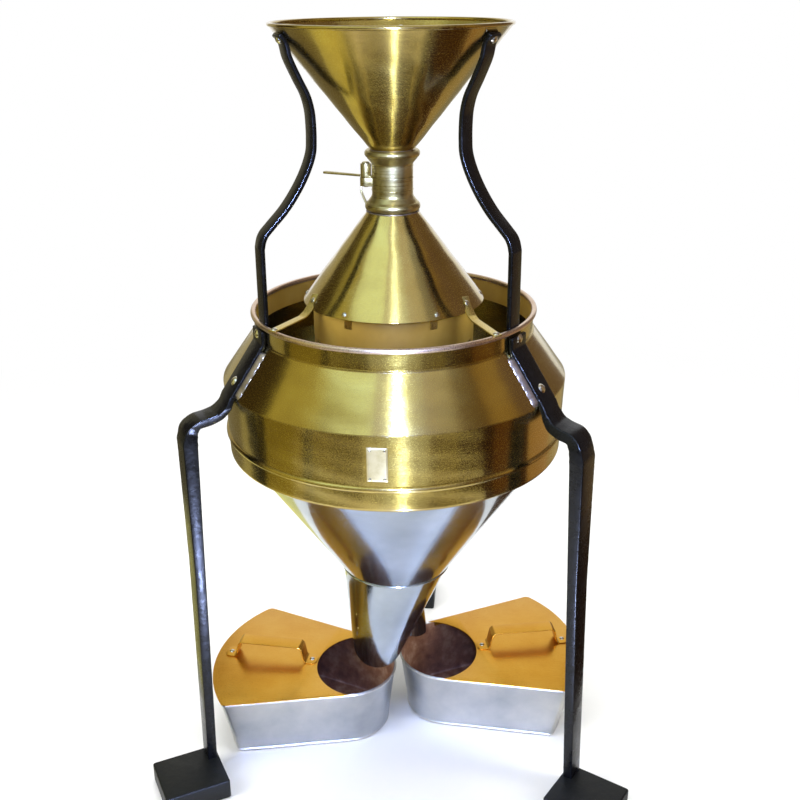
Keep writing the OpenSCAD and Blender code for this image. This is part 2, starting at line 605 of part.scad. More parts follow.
// Strips that hold the hood to the body's rim
function strut_a(i) = let (a = mount_az[i]) strut_r * [sin(a), -cos(a)];
function strut_b(i) = let (a = mount_az[i] + strut_turn_of(i)) roll_c[0] * [sin(a), -cos(a)];
module strut(i) {
    p = strut_a(i);
    d = strut_b(i) - p;
    l = norm(d);
    top = rim_z + rim_roll - 0.2 + strut_t / 2;
    q = [[4, strut_z - 1.5], [13, strut_z - 9.5], [20, strut_z - 12], [l - 4, top], [l + 4.5, top]];
    difference() {
        union() {
            at_hood(mount_az[i], strut_r) translate([-7, -7, -0.3]) cube([14, 14, strut_t + 0.3]);
            translate([p[0], p[1], 0]) rotate([0, 0, atan2(d[1], d[0])])
                upright(strut_w) polygon(ribbon(q, same(q, strut_t)));
        }
        rotate_extrude() polygon([[0, throat_foot], [hood_top_r, throat_foot], [hood_r, hood_z], [0, hood_z]]);
        rotate_extrude() translate(roll_c) circle(r = rim_roll);
        at_hood(mount_az[i], strut_r) shank(4, 1.6);
        at_az(mount_az[i] + strut_turn_of(i)) translate([roll_c[0], 0, rim_z]) cylinder(r = 1.2, h = 9);
    }
}
module struts() color("#c2a84e") for (i = [0 : 2]) strut(i);
module strut_hood_rivets() color("#e6dfb0") for (i = [0 : 2]) at_hood(mount_az[i], strut_r)
    translate([0, 0, -sheet - 0.07]) rivet(sheet + strut_t + 0.07, 1.6, 3.4, 1.6);
module strut_rim_rivets() color("#e6dfb0") for (i = [0 : 2]) at_az(mount_az[i] + strut_turn_of(i)) {
    z = rim_z + rim_roll - 0.2 + strut_t;
    translate([roll_c[0], 0, rim_z + rim_wire + 0.05]) cylinder(r = 1.2, h = z - rim_z - rim_wire - 0.05);
    translate([roll_c[0], 0, z]) dome(3.4, 1.8);
}

// Receiving pans: drafted walls, rolled rim, lid with a flange, strap handle
module on_pan(p) translate([p[0], p[1], pan_lift]) rotate([0, 0, p[2]]) children();
module pan(p) color("#a9acac") on_pan(p) difference() {
    union() {
        pan_hull(0, 0);
        translate([0, 0, pan_h - rim_h - 0.2]) linear_extrude(rim_h + 0.2) polygon(wedge(pan_near, pan_far, 0));
    }
    pan_hull(tin, tin);
    translate([0, 0, pan_h - rim_h - 0.3]) linear_extrude(rim_h + 1) polygon(wedge(pan_near, pan_far, -tin));
}
module pan_hull(e, z0) hull() {
    translate([0, 0, z0]) linear_extrude(0.01)
        polygon(wedge(pan_near - pan_draft, pan_far - pan_draft_far, -e));
    translate([0, 0, pan_h - rim_h - 0.21]) linear_extrude(0.01) polygon(wedge(pan_near, pan_far, -e));
}
module pan_rim(p) color("#c7c7c0") on_pan(p) translate([0, 0, pan_h - rim_h]) difference() {
    union() {
        translate([0, 0, 0.6]) linear_extrude(rim_h - 1.2) polygon(wedge(pan_near, pan_far, rim_out));
        linear_extrude(rim_h) polygon(wedge(pan_near, pan_far, rim_out - 0.6));
    }
    translate([0, 0, -1]) linear_extrude(rim_h + 2) polygon(wedge(pan_near, pan_far, 0));
}
module lid(p) color("#cf9f38") on_pan(p) translate([0, 0, pan_h + lid_gap]) difference() {
    union() {
        linear_extrude(lid_t) polygon(wedge(pan_near, pan_far, lid_over));
        translate([0, 0, -4.4]) linear_extrude(4.5) polygon(wedge(pan_near, pan_far, -tin - lid_fit));
    }
    translate([0, 0, -8]) linear_extrude(8) polygon(wedge(pan_near, pan_far, -tin - lid_fit - lid_t));
    translate([-cut_off, 0, -9]) cylinder(r = cut_r, h = 20);
    for (x = grip_x) translate([x, 0, -2]) cylinder(r = 1.5, h = 5);
}
grip_x = [42, 144];
grip_t = 1.5;
module handle(p) color("#d7ac49") on_pan(p) translate([0, 0, pan_h + lid_gap + lid_t]) difference() {
    q = [[grip_x[0] - 7, grip_t / 2], [grip_x[0] + 6, grip_t / 2], [grip_x[0] + 8.5, grip_t / 2 + 2.5],
        [grip_x[0] + 11.5, grip_h - 4], [grip_x[0] + 14.5, grip_h - grip_t / 2],
        [grip_x[1] - 14.5, grip_h - grip_t / 2], [grip_x[1] - 11.5, grip_h - 4],
        [grip_x[1] - 8.5, grip_t / 2 + 2.5], [grip_x[1] - 6, grip_t / 2], [grip_x[1] + 7, grip_t / 2]];
    upright(grip_w) polygon(ribbon(q, same(q, grip_t)));
    for (x = grip_x) translate([x, 0, -2]) cylinder(r = 1.5, h = 6);
}
module handle_rivets(p) color("#e6d9a0") on_pan(p) translate([0, 0, pan_h + lid_gap])
    for (x = grip_x) translate([x, 0, 0]) rivet(lid_t + grip_t, 1.5, 3.2, 1.5);
module left_pan() pan(pan_l);
module left_pan_rim() pan_rim(pan_l);
module left_lid() lid(pan_l);
module left_handle() handle(pan_l);
module left_handle_rivets() handle_rivets(pan_l);
module right_pan() pan(pan_rt);
module right_pan_rim() pan_rim(pan_rt);
module right_lid() lid(pan_rt);
module right_handle() handle(pan_rt);
module right_handle_rivets() handle_rivets(pan_rt);

place() hopper();
place() hopper_wire_ring();
place() throat_upper();
place() gate_collar();
place() throat_lower();
place() gate_plate();
place() gate_lever();
place() gate_pin();
place() gate_bracket();
place() gate_brace();
place() hood();
place() hood_clips();
place() hood_rivets();
place() spreader_cone();
place() channel_inner_wall();
place() channel_outer_wall();
place() partitions();
place() outward_chutes();
place() inward_chutes();
place() inner_funnel();
place() inner_spout();
place() rim_wire_ring();
place() body_collar();
place() body_shoulder();
place() body_band();
place() band_bead();
place() nameplate();
place() nameplate_pins();
place() outer_funnel();
place() funnel_bead();
place() outer_spout();
place() bar_left();
place() bar_right();
place() bar_rear();
place() bar_rivets();
place() collar_rivets();
place() shoulder_rivets();
place() leg_left();
place() leg_right();
place() leg_rear();
place() foot_left();
place() foot_right();
place() foot_rear();
place() struts();
place() strut_hood_rivets();
place() strut_rim_rivets();
place() left_pan();
place() left_pan_rim();
place() left_lid();
place() left_handle();
place() left_handle_rivets();
place() right_pan();
place() right_pan_rim();
place() right_lid();
place() right_handle();
place() right_handle_rivets();
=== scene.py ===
"""Conical sample divider: the looks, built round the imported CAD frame.

Lengths in this file are millimetres about the machine's own axis, with the floor at zero. They become metres
in the row frame when a mesh is made. Angles named az are taken from the front, positive toward +x.
"""
import json
import math
import bmesh
import bpy
import numpy as np
from mathutils import Matrix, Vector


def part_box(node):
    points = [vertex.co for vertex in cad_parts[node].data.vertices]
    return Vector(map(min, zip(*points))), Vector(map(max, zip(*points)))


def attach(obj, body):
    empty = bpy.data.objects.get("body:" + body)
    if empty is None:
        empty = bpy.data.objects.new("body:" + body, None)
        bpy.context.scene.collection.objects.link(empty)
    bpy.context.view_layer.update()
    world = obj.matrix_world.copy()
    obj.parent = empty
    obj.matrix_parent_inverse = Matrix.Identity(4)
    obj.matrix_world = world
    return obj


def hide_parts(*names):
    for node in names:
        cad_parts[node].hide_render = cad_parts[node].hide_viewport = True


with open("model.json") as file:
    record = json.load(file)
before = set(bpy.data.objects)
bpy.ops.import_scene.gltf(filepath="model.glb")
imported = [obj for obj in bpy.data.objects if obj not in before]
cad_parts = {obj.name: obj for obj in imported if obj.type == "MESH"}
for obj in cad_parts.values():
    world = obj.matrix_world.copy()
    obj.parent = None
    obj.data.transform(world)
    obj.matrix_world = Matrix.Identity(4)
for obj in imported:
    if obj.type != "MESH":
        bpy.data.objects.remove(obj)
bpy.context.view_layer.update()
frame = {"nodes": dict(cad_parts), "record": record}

MM = 0.001
AXIS_Y = (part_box("hopper")[0].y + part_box("hopper")[1].y) / 2 / MM


# Numbers and outlines

def unit(v):
    """Each vector at length one."""
    v = np.asarray(v, float)
    return v / np.linalg.norm(v, axis=-1, keepdims=True)


def arc(centre, radius, start, end, steps):
    """Points of a circle from one angle to another, in degrees."""
    a = np.radians(np.linspace(start, end, steps))
    return np.stack([centre[0] + radius * np.cos(a), centre[1] + radius * np.sin(a)], 1)


def eased(corners, radii, closed=True, longest=6.0, bend_steps=5):
    """Line through the corners, each rounded by its radius: a circle arc tangent to both sides, with a guard
    point before and after it. The straights are cut so that no step is longer than longest."""
    p = np.asarray(corners, float)
    n = len(p)
    r = np.broadcast_to(np.asarray(radii, float), n)
    out = []
    for i in range(n):
        if not closed and i in (0, n - 1):
            out.append(p[i])
            continue
        a, b = p[i - 1] - p[i], p[(i + 1) % n] - p[i]
        la, lb = np.linalg.norm(a), np.linalg.norm(b)
        a, b = a / la, b / lb
        half = math.acos(max(-1.0, min(1.0, float(a @ b)))) / 2
        if r[i] <= 0 or half > math.radians(89.5):
            out.append(p[i])
            continue
        reach = min(r[i] / math.tan(half), 0.42 * la, 0.42 * lb)
        radius = reach * math.tan(half)
        centre = p[i] + unit(a + b) * radius / math.sin(half)
        u, v = p[i] + a * reach - centre, p[i] + b * reach - centre
        turn = math.pi - 2 * half
        guard = min(0.5 * reach, 0.06 * la, 0.06 * lb)
        out.append(p[i] + a * (reach + guard))
        for t in np.linspace(0, 1, bend_steps):
            out.append(centre + (math.sin((1 - t) * turn) * u + math.sin(t * turn) * v) / math.sin(turn))
        out.append(p[i] + b * (reach + guard))
    out = np.array(out)
    nxt = np.roll(out, -1, 0) if closed else out[1:]
    cut = [np.linspace(q, w, max(1, math.ceil(np.linalg.norm(w - q) / longest)), endpoint=False)
           for q, w in zip(out, nxt)]
    return np.concatenate(cut if closed else cut + [out[-1:]])


def flowing(points, steps=8):
    """Smooth curve through the points (Catmull and Rom's cubic)."""
    p = np.asarray(points, float)
    p = np.concatenate([2 * p[:1] - p[1:2], p, 2 * p[-1:] - p[-2:-1]])
    t = np.linspace(0, 1, steps, endpoint=False)[:, None]
    parts = [0.5 * (2 * b + (c - a) * t + (2 * a - 5 * b + 4 * c - d) * t**2
                    + (3 * b - a - 3 * c + d) * t**3) for a, b, c, d in zip(p, p[1:], p[2:], p[3:])]
    return np.concatenate(parts + [p[-2:-1]])


# Sheet that was worked by hand isn't quite true: these slow waves move it in and out, in millimetres

WAVES = np.random.default_rng(7)
WAVE_TURNS = WAVES.integers(2, 11, 9)
WAVE_RISE = WAVES.uniform(0.012, 0.055, 9)
WAVE_START = WAVES.uniform(0, 2 * math.pi, 9)
WAVE_DEPTH = 0.055


def uneven(p):
    """Moves points about the axis outward or inward by a sum of slow waves in angle and height."""
    angle = np.arctan2(p[..., 1], p[..., 0])
    phase = WAVE_TURNS * angle[..., None] + WAVE_RISE * p[..., 2:3] * 2 * math.pi + WAVE_START
    shift = WAVE_DEPTH * np.sin(phase).sum(-1)
    out = p.copy()
    out[..., 0] += shift * np.cos(angle)
    out[..., 1] += shift * np.sin(angle)
    return out


# Meshes

def grid(p, wrap_u=False, wrap_v=False, capped=False):
    """A surface patch of points, with what closes on itself and whether flat faces end it."""
    return {"p": p, "wrap": (wrap_u, wrap_v), "capped": capped}


def stacked(levels, **ends):
    """A patch of flat outlines, each at its height."""
    rows = [np.column_stack([line, np.full(len(line), z)]) for line, z in levels]
    return grid(np.array(rows), wrap_v=True, **ends)


def distances(p):
    """Mean distance run from row to row, and from the last back to the first."""
    return np.concatenate([[0], np.linalg.norm(np.roll(p, -1, 0) - p, axis=2).mean(1).cumsum()])


def mesh_of(name, grids, sharp=38.0):
    """One closed mesh from patches of points in mm. The run map holds the distances along and across."""
    verts, faces, runs, base = [], [], [], 0
    for g in grids:
        p, (wrap_u, wrap_v) = g["p"], g["wrap"]
        rows, cols = p.shape[:2]
        along, across = distances(p), distances(p.transpose(1, 0, 2))
        i, j = np.meshgrid(np.arange(rows if wrap_u else rows - 1), np.arange(cols if wrap_v else cols - 1),
                           indexing="ij")
        i, j = i.ravel(), j.ravel()
        i1, j1 = i + 1, j + 1
        here, there = i * cols, (i1 % rows) * cols
        quads = np.stack([here + j, there + j, there + j1 % cols, here + j1 % cols], 1)
        faces.extend((quads + base).tolist())
        uv = np.stack([across[[j, j, j1, j1]].T, along[[i, i1, i1, i]].T], 2)
        runs.append(uv.reshape(-1, 2))
        for row in (0, rows - 1) if g["capped"] else ():
            faces.append((np.arange(cols) + row * cols + base).tolist())
            runs.append(p[row, :, :2])
        verts.append(p.reshape(-1, 3))
        base += rows * cols
    v = (np.concatenate(verts) + (0, AXIS_Y, 0)) * MM
    mesh = bpy.data.meshes.new(name)
    mesh.from_pydata(v.tolist(), [], faces)
    mesh.uv_layers.new(name="run").data.foreach_set("uv", (np.concatenate(runs) * MM).ravel())
    return tidied(mesh, sharp)


def tidied(mesh, sharp):
    """Joins doubled points, turns the faces outward and keeps edges above the angle crisp."""
    b = bmesh.new()
    b.from_mesh(mesh)
    bmesh.ops.remove_doubles(b, verts=b.verts, dist=0.002 * MM)
    bmesh.ops.recalc_face_normals(b, faces=b.faces)
    b.to_mesh(mesh)
    b.free()
    mesh.shade_smooth()
    mesh.set_sharp_from_angle(angle=math.radians(sharp))
    mesh.update()
    return mesh


def shown_object(name, data):
    """An object of a mesh, lamp or camera, put in the scene."""
    o = bpy.data.objects.new(name, data)
    bpy.context.scene.collection.objects.link(o)
    return o


def piece(name, mesh, material, stands_for=(), body="frame"):
    """A finished piece: mesh, material, the CAD nodes it stands for and the body it rides on."""
    o = shown_object(name, mesh)
    mesh.materials.append(material)
    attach(o, body)
    if stands_for:
        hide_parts(*stands_for)
    return o


def part(name, grids, material, stands_for=(), body="frame", sharp=38.0):
    """A piece made of patches of points."""
    return piece(name, mesh_of(name, grids, sharp), material, stands_for, body)


def spun(outline, turn):
    """Points of radius and height carried round to each angle of turn."""
    r, z = outline[:, 0][:, None], outline[:, 1][:, None]
    return np.stack([r * np.cos(turn), r * np.sin(turn), z + 0 * turn], 2)


def turned(outline, segments=240, closed=True, worked=True):
    """An outline of radius and height carried round the machine's axis. Its seam is at the back."""
    p = spun(outline, np.radians(90 + np.arange(segments) * 360 / segments))
    return grid(uneven(p) if worked else p, wrap_u=closed, wrap_v=True)


def placed(g, angle, origin=(0, 0, 0)):
    """A patch turned about the vertical by an angle in degrees and moved."""
    c, s = math.cos(math.radians(angle)), math.sin(math.radians(angle))
    x, y, z = np.moveaxis(g["p"], -1, 0)
    return {**g, "p": np.stack([x * c - y * s, x * s + y * c, z], -1) + np.asarray(origin, float)}


def aimed(g, at, axis):
    """A patch built along +z, turned so that +z points along axis, and moved."""
    z = unit(axis)
    x = unit(np.cross((0.0, 0.0, 1.0) if abs(z[2]) < 0.9 else (1.0, 0.0, 0.0), z))
    return {**g, "p": g["p"] @ np.stack([x, np.cross(z, x), z]) + np.asarray(at, float)}


def carried(path, half_t, half_w, corner, corner_steps=4):
    """A rounded rectangle carried along a path in the x-z plane. half_t is half its depth in that plane and
    half_w half its width along y, both by station. The ends are rounded by the same corner."""
    path = np.asarray(path, float)
    half_t = np.broadcast_to(np.asarray(half_t, float), len(path)).copy()
    half_w = np.broadcast_to(np.asarray(half_w, float), len(path)).copy()
    tangent = unit(np.gradient(path, axis=0))
    steps = np.radians([20.0, 45.0, 70.0])
    for end in (0, -1):
        out = tangent[end] * (1 if end else -1)
        inset = corner * (1 - np.cos(steps))[:: 1 if end else -1]
        reach = (corner * np.sin(steps))[:: 1 if end else -1]
        back = path[end] - out * corner
        extra = back + out * reach[:, None]
        path[end] = back
        keep = np.repeat(tangent[end:][:1], 3, 0)
        t, w = half_t[end] - inset, half_w[end] - inset
        joined = (lambda a, b: np.concatenate([a, b])) if end else (lambda a, b: np.concatenate([b, a]))
        path, tangent = joined(path, extra), joined(tangent, keep)
        half_t, half_w = joined(half_t, t), joined(half_w, w)
    normal = np.stack([-tangent[:, 1], tangent[:, 0]], 1)
    quarter = np.radians(np.linspace(0, 90, corner_steps))
    turns = np.concatenate([quarter + q * math.pi / 2 for q in range(4)])
    side_t = np.repeat([1, -1, -1, 1], corner_steps)
    side_w = np.repeat([1, 1, -1, -1], corner_steps)
    c = np.minimum(corner, 0.98 * np.minimum(half_t, half_w))[:, None]
    dep = side_t * (half_t[:, None] - c) + c * np.cos(turns)
    wid = side_w * (half_w[:, None] - c) + c * np.sin(turns)
    x = path[:, 0][:, None] + normal[:, 0][:, None] * dep
    z = path[:, 1][:, None] + normal[:, 1][:, None] * dep
    return grid(np.stack([x, wid, z], 2), wrap_v=True, capped=True)


def barrel(outline, segments=48, closed=True):
    """An outline of radius and height turned about +z, to be moved to its place."""
    turn = np.linspace(0, 2 * math.pi, segments, endpoint=False)
    return grid(spun(outline, turn), wrap_u=closed, wrap_v=True)


def dome(radius, height, steps=7, segments=28):
    """A rivet head along +z: a ball's cap on a short upright edge, closed underneath."""
    ball = (radius**2 + height**2) / (2 * height)
    top = math.degrees(math.asin(min(1.0, radius / ball)))
    cap = arc((0, height - ball), ball, 90 - top, 90, steps)
    return barrel(np.concatenate([[[0, -0.3], [radius, -0.3]], cap]), segments, closed=False)


def dressed(name, node, material, bevel=0.0, body="frame"):
    """A piece copied from a CAD node's mesh, with triangles joined, flat faces merged and edges eased."""
    mesh = frame["nodes"][node].data.copy()
    mesh.name = name
    mesh.materials.clear()
    b = bmesh.new()
    b.from_mesh(mesh)
    bmesh.ops.remove_doubles(b, verts=b.verts, dist=0.004 * MM)
    bmesh.ops.dissolve_limit(b, angle_limit=math.radians(0.6), verts=b.verts, edges=b.edges)
    if bevel:
        keen = [e for e in b.edges if len(e.link_faces) == 2 and e.calc_face_angle(0) > math.radians(50)]
        bmesh.ops.bevel(b, geom=keen, offset=bevel * MM, segments=2, profile=0.6, affect="EDGES",
                        clamp_overlap=True)
    b.to_mesh(mesh)
    b.free()
    mesh.shade_smooth()
    mesh.set_sharp_from_angle(angle=math.radians(32.0))
    return piece(name, mesh, material, [node], body)


# Materials

def colour(code):
    """An sRGB hex colour as linear red, green, blue, alpha."""
    c = np.array([int(code[i:i + 2], 16) / 255 for i in (1, 3, 5)])
    return (*np.where(c <= 0.04045, c / 12.92, ((c + 0.055) / 1.055) ** 2.4), 1.0)


def feed(tree, node, settings=None, links=None):
    """Gives a node its settings and joins its inputs."""
    for key, value in (settings or {}).items():
        if isinstance(key, int) or not hasattr(node, key):
            node.inputs[key].default_value = value
        else:
            setattr(node, key, value)
    for key, source in (links or {}).items():
        tree.links.new(source, node.inputs[key])
    return node


def add(tree, kind, settings=None, links=None):
    """Adds a node with its settings and joined inputs."""
    return feed(tree, tree.nodes.new(kind), settings, links)


def emptied(owner):
    """The node tree of a material or world, without its first nodes."""
    owner.use_nodes = True
    owner.node_tree.nodes.clear()
    return owner.node_tree


def new_material(name):
    """A node material with its shader and output, and the places of its points."""
    m = bpy.data.materials.new(name)
    tree = emptied(m)
    shader = add(tree, "ShaderNodeBsdfPrincipled")
    add(tree, "ShaderNodeOutputMaterial", links={"Surface": shader.outputs["BSDF"]})
    return m, tree, shader, add(tree, "ShaderNodeTexCoord").outputs["Object"]


def between(tree, source, low, high, ends=(0.0, 1.0)):
    """Maps a value between two limits to the two ends."""
    limits = {"From Min": low, "From Max": high, "To Min": ends[0], "To Max": ends[1]}
    return add(tree, "ShaderNodeMapRange", limits, {"Value": source}).outputs["Result"]


def ramp(tree, source, low, high, stops):
    """Maps a value between two limits to colours, spread evenly between them."""
    node = add(tree, "ShaderNodeValToRGB", links={"Fac": between(tree, source, low, high)})
    keys = node.color_ramp.elements
    while len(keys) < len(stops):
        keys.new(0.5)
    for i, s in enumerate(stops):
        keys[i].position = i / (len(stops) - 1)
        keys[i].color = colour(s)
    return node.outputs["Color"]


def noise(tree, where, scale, detail, rough=0.5, stretch=None):
    """Cloudy noise at a place, which may be stretched along each axis."""
    if stretch:
        where = add(tree, "ShaderNodeMapping", {"Scale": stretch}, {"Vector": where}).outputs["Vector"]
    return add(tree, "ShaderNodeTexNoise", {"Scale": scale, "Detail": detail, "Roughness": rough},
               {"Vector": where}).outputs["Fac"]


def bumped(tree, shader, *layers):
    """Gives the shader bumps over each other, each from a depth in mm and a height from 0 to 1."""
    under = {}
    for depth, height in layers:
        bump = add(tree, "ShaderNodeBump", {"Strength": 1.0, "Distance": depth * MM},
                   {"Height": height, **under})
        under = {"Normal": bump.outputs["Normal"]}
    feed(tree, shader, links=under)


def sheet_metal(name, tones, rough, buffed, rings, ripple, on_run=True, anisotropic=0.0, metallic=1.0,
                lacquer=0.0):
    """Metal sheet polished in lines. tones are its colours from stained to clean. rough is the roughness
    where it is bright and where it is scratched, and buffed the share of the latter. rings is the depth in
    mm of the polishing lines and ripple that of the shallow dimples."""
    m, tree, shader, where = new_material(name)
    lines = add(tree, "ShaderNodeUVMap", {"uv_map": "run"}).outputs["UV"] if on_run else where
    # Polishing lines: 0.5 mm apart and about 30 mm long
    line = noise(tree, lines, 1.0, 2.0, 0.6, (32.0, 2000.0, 2000.0))
    # Stains and handling marks, 60 mm across, and scratched grain of 0.7 mm
    stain = noise(tree, where, 16.0, 4.0, 0.55)
    grain = noise(tree, where, 1500.0, 2.0, 0.6)
    # Dimples left by the mallet and the buff, 5 mm across
    dimple = noise(tree, where, 210.0, 1.5)
    mixed = add(tree, "ShaderNodeMath", {"operation": "MULTIPLY_ADD", 1: 0.3}, {0: line, 2: grain})
    half_way = 0.65 + 0.2 * (0.5 - buffed)
    scratched = between(tree, mixed.outputs["Value"], half_way - 0.16, half_way + 0.16, rough)
    feed(tree, shader, {"Metallic": metallic, "Coat Weight": lacquer, "Coat Roughness": 0.2},
         {"Base Color": ramp(tree, stain, 0.3, 0.7, tones), "Roughness": scratched})
    bumped(tree, shader, (rings, line), (ripple, dimple))
    if anisotropic:
        around = add(tree, "ShaderNodeTangent", {"direction_type": "UV_MAP", "uv_map": "run"})
        feed(tree, shader, {"Anisotropic": anisotropic, "Anisotropic Rotation": 0.25},
             {"Tangent": around.outputs["Tangent"]})
    return m


def cast_metal(name, tones, rough, pits, metallic=1.0):
    """Cast and turned metal: a fine grain, small pits and tool marks, with duller hollows."""
    m, tree, shader, where = new_material(name)
    grain = noise(tree, where, 700.0, 3.0, 0.6)
    stain = noise(tree, where, 60.0, 5.0, 0.6)
    # Tool marks run level, 0.8 mm apart
    tool = noise(tree, where, 1.0, 2.0, stretch=(20.0, 20.0, 1250.0))
    feed(tree, shader, {"Metallic": metallic}, {"Base Color": ramp(tree, stain, 0.3, 0.7, tones),
                                                "Roughness": between(tree, tool, 0.3, 0.7, rough)})
    bumped(tree, shader, (pits, grain), (0.05, tool))
    return m


def painted_iron(name, paint, worn, sheen, gloss):
    """Black gloss paint brushed on forged iron: sags and brush marks, with thin spots gone grey."""
    m, tree, shader, where = new_material(name)
    # Brush marks run up and down the bar, 1.5 mm apart
    brush = noise(tree, where, 1.0, 3.0, stretch=(650.0, 650.0, 30.0))
    forged = noise(tree, where, 110.0, 4.0, 0.55)
    thin = noise(tree, where, 45.0, 8.0, 0.72)
    feed(tree, shader, {"Specular IOR Level": gloss},
         {"Base Color": ramp(tree, thin, 0.3, 0.86, [paint, paint, worn]),
          "Roughness": between(tree, thin, 0.3, 0.7, sheen)})
    bumped(tree, shader, (0.05, brush), (0.35, forged))
    return m


# Yellow brass sheet, spun and buffed: olive gold, bright between fine turned lines that catch the flash
brass_sheet = sheet_metal("buffed_brass_sheet", ["#a98f3e", "#bba24c", "#c4b060"], (0.12, 0.3), 0.42, 0.0015,
                          0.015, anisotropic=0.9, lacquer=1.0)
# The same brass on small flat strips, which have no turned lines
brass_strip = sheet_metal("brass_strip", ["#b89c50", "#ccb468", "#d6c27c"], (0.22, 0.4), 0.4, 0.002, 0.02,
                          on_run=False)
# Brass that was never buffed, inside the body: warmer and duller
inner_brass = sheet_metal("dull_inner_brass", ["#c09a40", "#d2ae4c", "#dec064"], (0.3, 0.5), 0.5, 0.003,
                          0.04, on_run=False, metallic=0.15)
# Paler, pinker brass, given to the top of the body's rolled rim
rim_brass = sheet_metal("pale_pink_rim_top", ["#c4a488", "#d8bea4", "#e6d2bc"], (0.2, 0.45), 0.5, 0.003, 0.02,
                        anisotropic=0.5)
# Red-gold brass on the lids, polished flat with a cloth
lid_brass = sheet_metal("golden_brass_lid", ["#d29832", "#d9a23c", "#deab48"], (0.26, 0.4), 0.45, 0.002,
                        0.025, on_run=False)
# Tinned sheet of the funnel and spouts, bright enough to mirror what is round it
bright_tin = sheet_metal("bright_tinned_sheet", ["#a7afb6", "#b4bcc3", "#c2cad1"], (0.06, 0.3), 0.2, 0.002,
                         0.02)
# Tinned sheet of the pans, dulled by use
satin_tin = sheet_metal("satin_tinned_sheet", ["#9fa1a0", "#b4b4b0", "#c6c4bd"], (0.27, 0.42), 0.5, 0.002,
                        0.03, on_run=False)
# Cast brass of the throat and gate, turned on a lathe and left dull
cast_brass = cast_metal("turned_cast_brass", ["#9a8850", "#b9a970", "#cdc090"], (0.24, 0.42), 0.04)
# The pans' rolled edges, rubbed bright
pan_edge = sheet_metal("rubbed_tin_edge", ["#c6c4bc", "#d6d4cc", "#e0ded6"], (0.2, 0.45), 0.4, 0.002, 0.02,
                       on_run=False)
# Soft solder run into the seams
solder = cast_metal("soft_solder", ["#8e8274", "#aa9c8c", "#c0b2a2"], (0.3, 0.5), 0.1)
# Drawn steel wire, bare
bare_wire = cast_metal("drawn_wire", ["#77736a", "#8f8a80", "#a39e92"], (0.3, 0.45), 0.02)
# Bright nickelled rivets
rivet_metal = cast_metal("bright_rivet", ["#bdb8a8", "#dad6c8", "#e6e3d8"], (0.12, 0.2), 0.01)
# Thin brass plate, satin
plate_brass = cast_metal("satin_brass_plate", ["#cdbf8c", "#dfd3a6", "#e9dfba"], (0.3, 0.45), 0.02, 0.7)
# Black gloss paint on the legs and bars
black_iron = painted_iron("black_painted_iron", "#08090d", "#24262c", (0.18, 0.38), 0.28)
# The same paint, scuffed, on the foot blocks
foot_iron = painted_iron("scuffed_black_iron", "#0f100c", "#2e2d27", (0.4, 0.6), 0.3)

# Inside of the pans: brown painted shade and painted reflection of the brass, lighter in swirls
painted_shade_tin = cast_metal("brown_painted_shade_tin", ["#7c5238", "#a27458", "#c6a488"], (0.4, 0.6), 0.08, 0.15)

# The looks of each slot, and first the one that a plain CAD solid shows
SLOT_LOOKS = {"brass_sheet": (brass_strip, brass_sheet, inner_brass), "wire": (bare_wire,),
              "brass_cast": (cast_brass,), "tinned_sheet": (satin_tin, bright_tin, pan_edge),
              "brass_polished": (lid_brass,), "brass_plate": (plate_brass,),
              "black_iron": (black_iron, foot_iron), "rivet_metal": (rivet_metal,)}
for row in frame["record"]["subparts"]:
    data = frame["nodes"][row["node"]].data
    data.materials.clear()
    data.materials.append(SLOT_LOOKS[row["material_slot"]][0])


def face_rows(mesh, what):
    """The centre or normal of each face."""
    rows = np.zeros(len(mesh.polygons) * 3)
    mesh.polygons.foreach_get(what, rows)
    return rows.reshape(-1, 3)


def line_inside(mesh, middle, material):
    """Gives the material to faces that look toward the middle, an upright line through a point in mm, and to
    those that look up from the floor of the pan."""
    # The material given here is painted shade and a painted reflection of the brass inside the pan
    centre, normal = face_rows(mesh, "center"), face_rows(mesh, "normal")
    away = centre[:, :2] - (np.array(middle[:2]) + (0, AXIS_Y)) * MM
    inward = (away * normal[:, :2]).sum(1) < -0.002
    floor_up = (normal[:, 2] > 0.5) & (centre[:, 2] < 20 * MM)
    mesh.materials.append(material)
    mesh.polygons.foreach_set("material_index", (inward | floor_up).astype(np.int32))


# Driving sizes, as in the CAD source

SHEET = 1.2
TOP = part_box("hopper")[1].z / MM
HOPPER_R = (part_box("hopper")[1].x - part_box("hopper")[0].x) / 2 / MM
HOPPER_ROLL = 2.0
BORE_R, TUBE_R = 17.8, 21.0
THROAT_TOP, THROAT_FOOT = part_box("throat_upper")[1].z / MM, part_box("throat_lower")[0].z / MM
SEAT = THROAT_TOP - 3.5
HOOD_R, HOOD_Z, HOOD_TOP_R = 95.3, 538.0, 26.5
COLLAR_R, RIM_Z, RIM_ROLL = 147.5, 528.0, 2.8
STEP_Z, EDGE_Z, BODY_R = 507.0, 457.5, 184.0
BEAD_Z, BAND_LOW_R, BAND_FOOT = 400.5, 181.5, 376.0
FUNNEL_R, FUNNEL_FOOT_R, FUNNEL_FOOT = 168.0, 61.0, 217.0
MOUNTS, SIDES = (-60.0, 60.0, 180.0), ("left", "right", "rear")
HOPPER_K = (HOPPER_R - HOPPER_ROLL - BORE_R) / (TOP - HOPPER_ROLL - SEAT)
HOPPER_T = SHEET * math.hypot(1, HOPPER_K)
HOOD_K = (HOOD_R - HOOD_TOP_R) / (THROAT_FOOT - HOOD_Z)
HOOD_T = SHEET * math.hypot(1, HOOD_K)
SHOULDER_K = (BODY_R - COLLAR_R - 2) / (STEP_Z - 1 - EDGE_Z)
SHOULDER_T = SHEET * math.hypot(1, SHOULDER_K)
COLLAR_IN = COLLAR_R - SHEET
ROLL_R = COLLAR_IN - 0.9 + RIM_ROLL


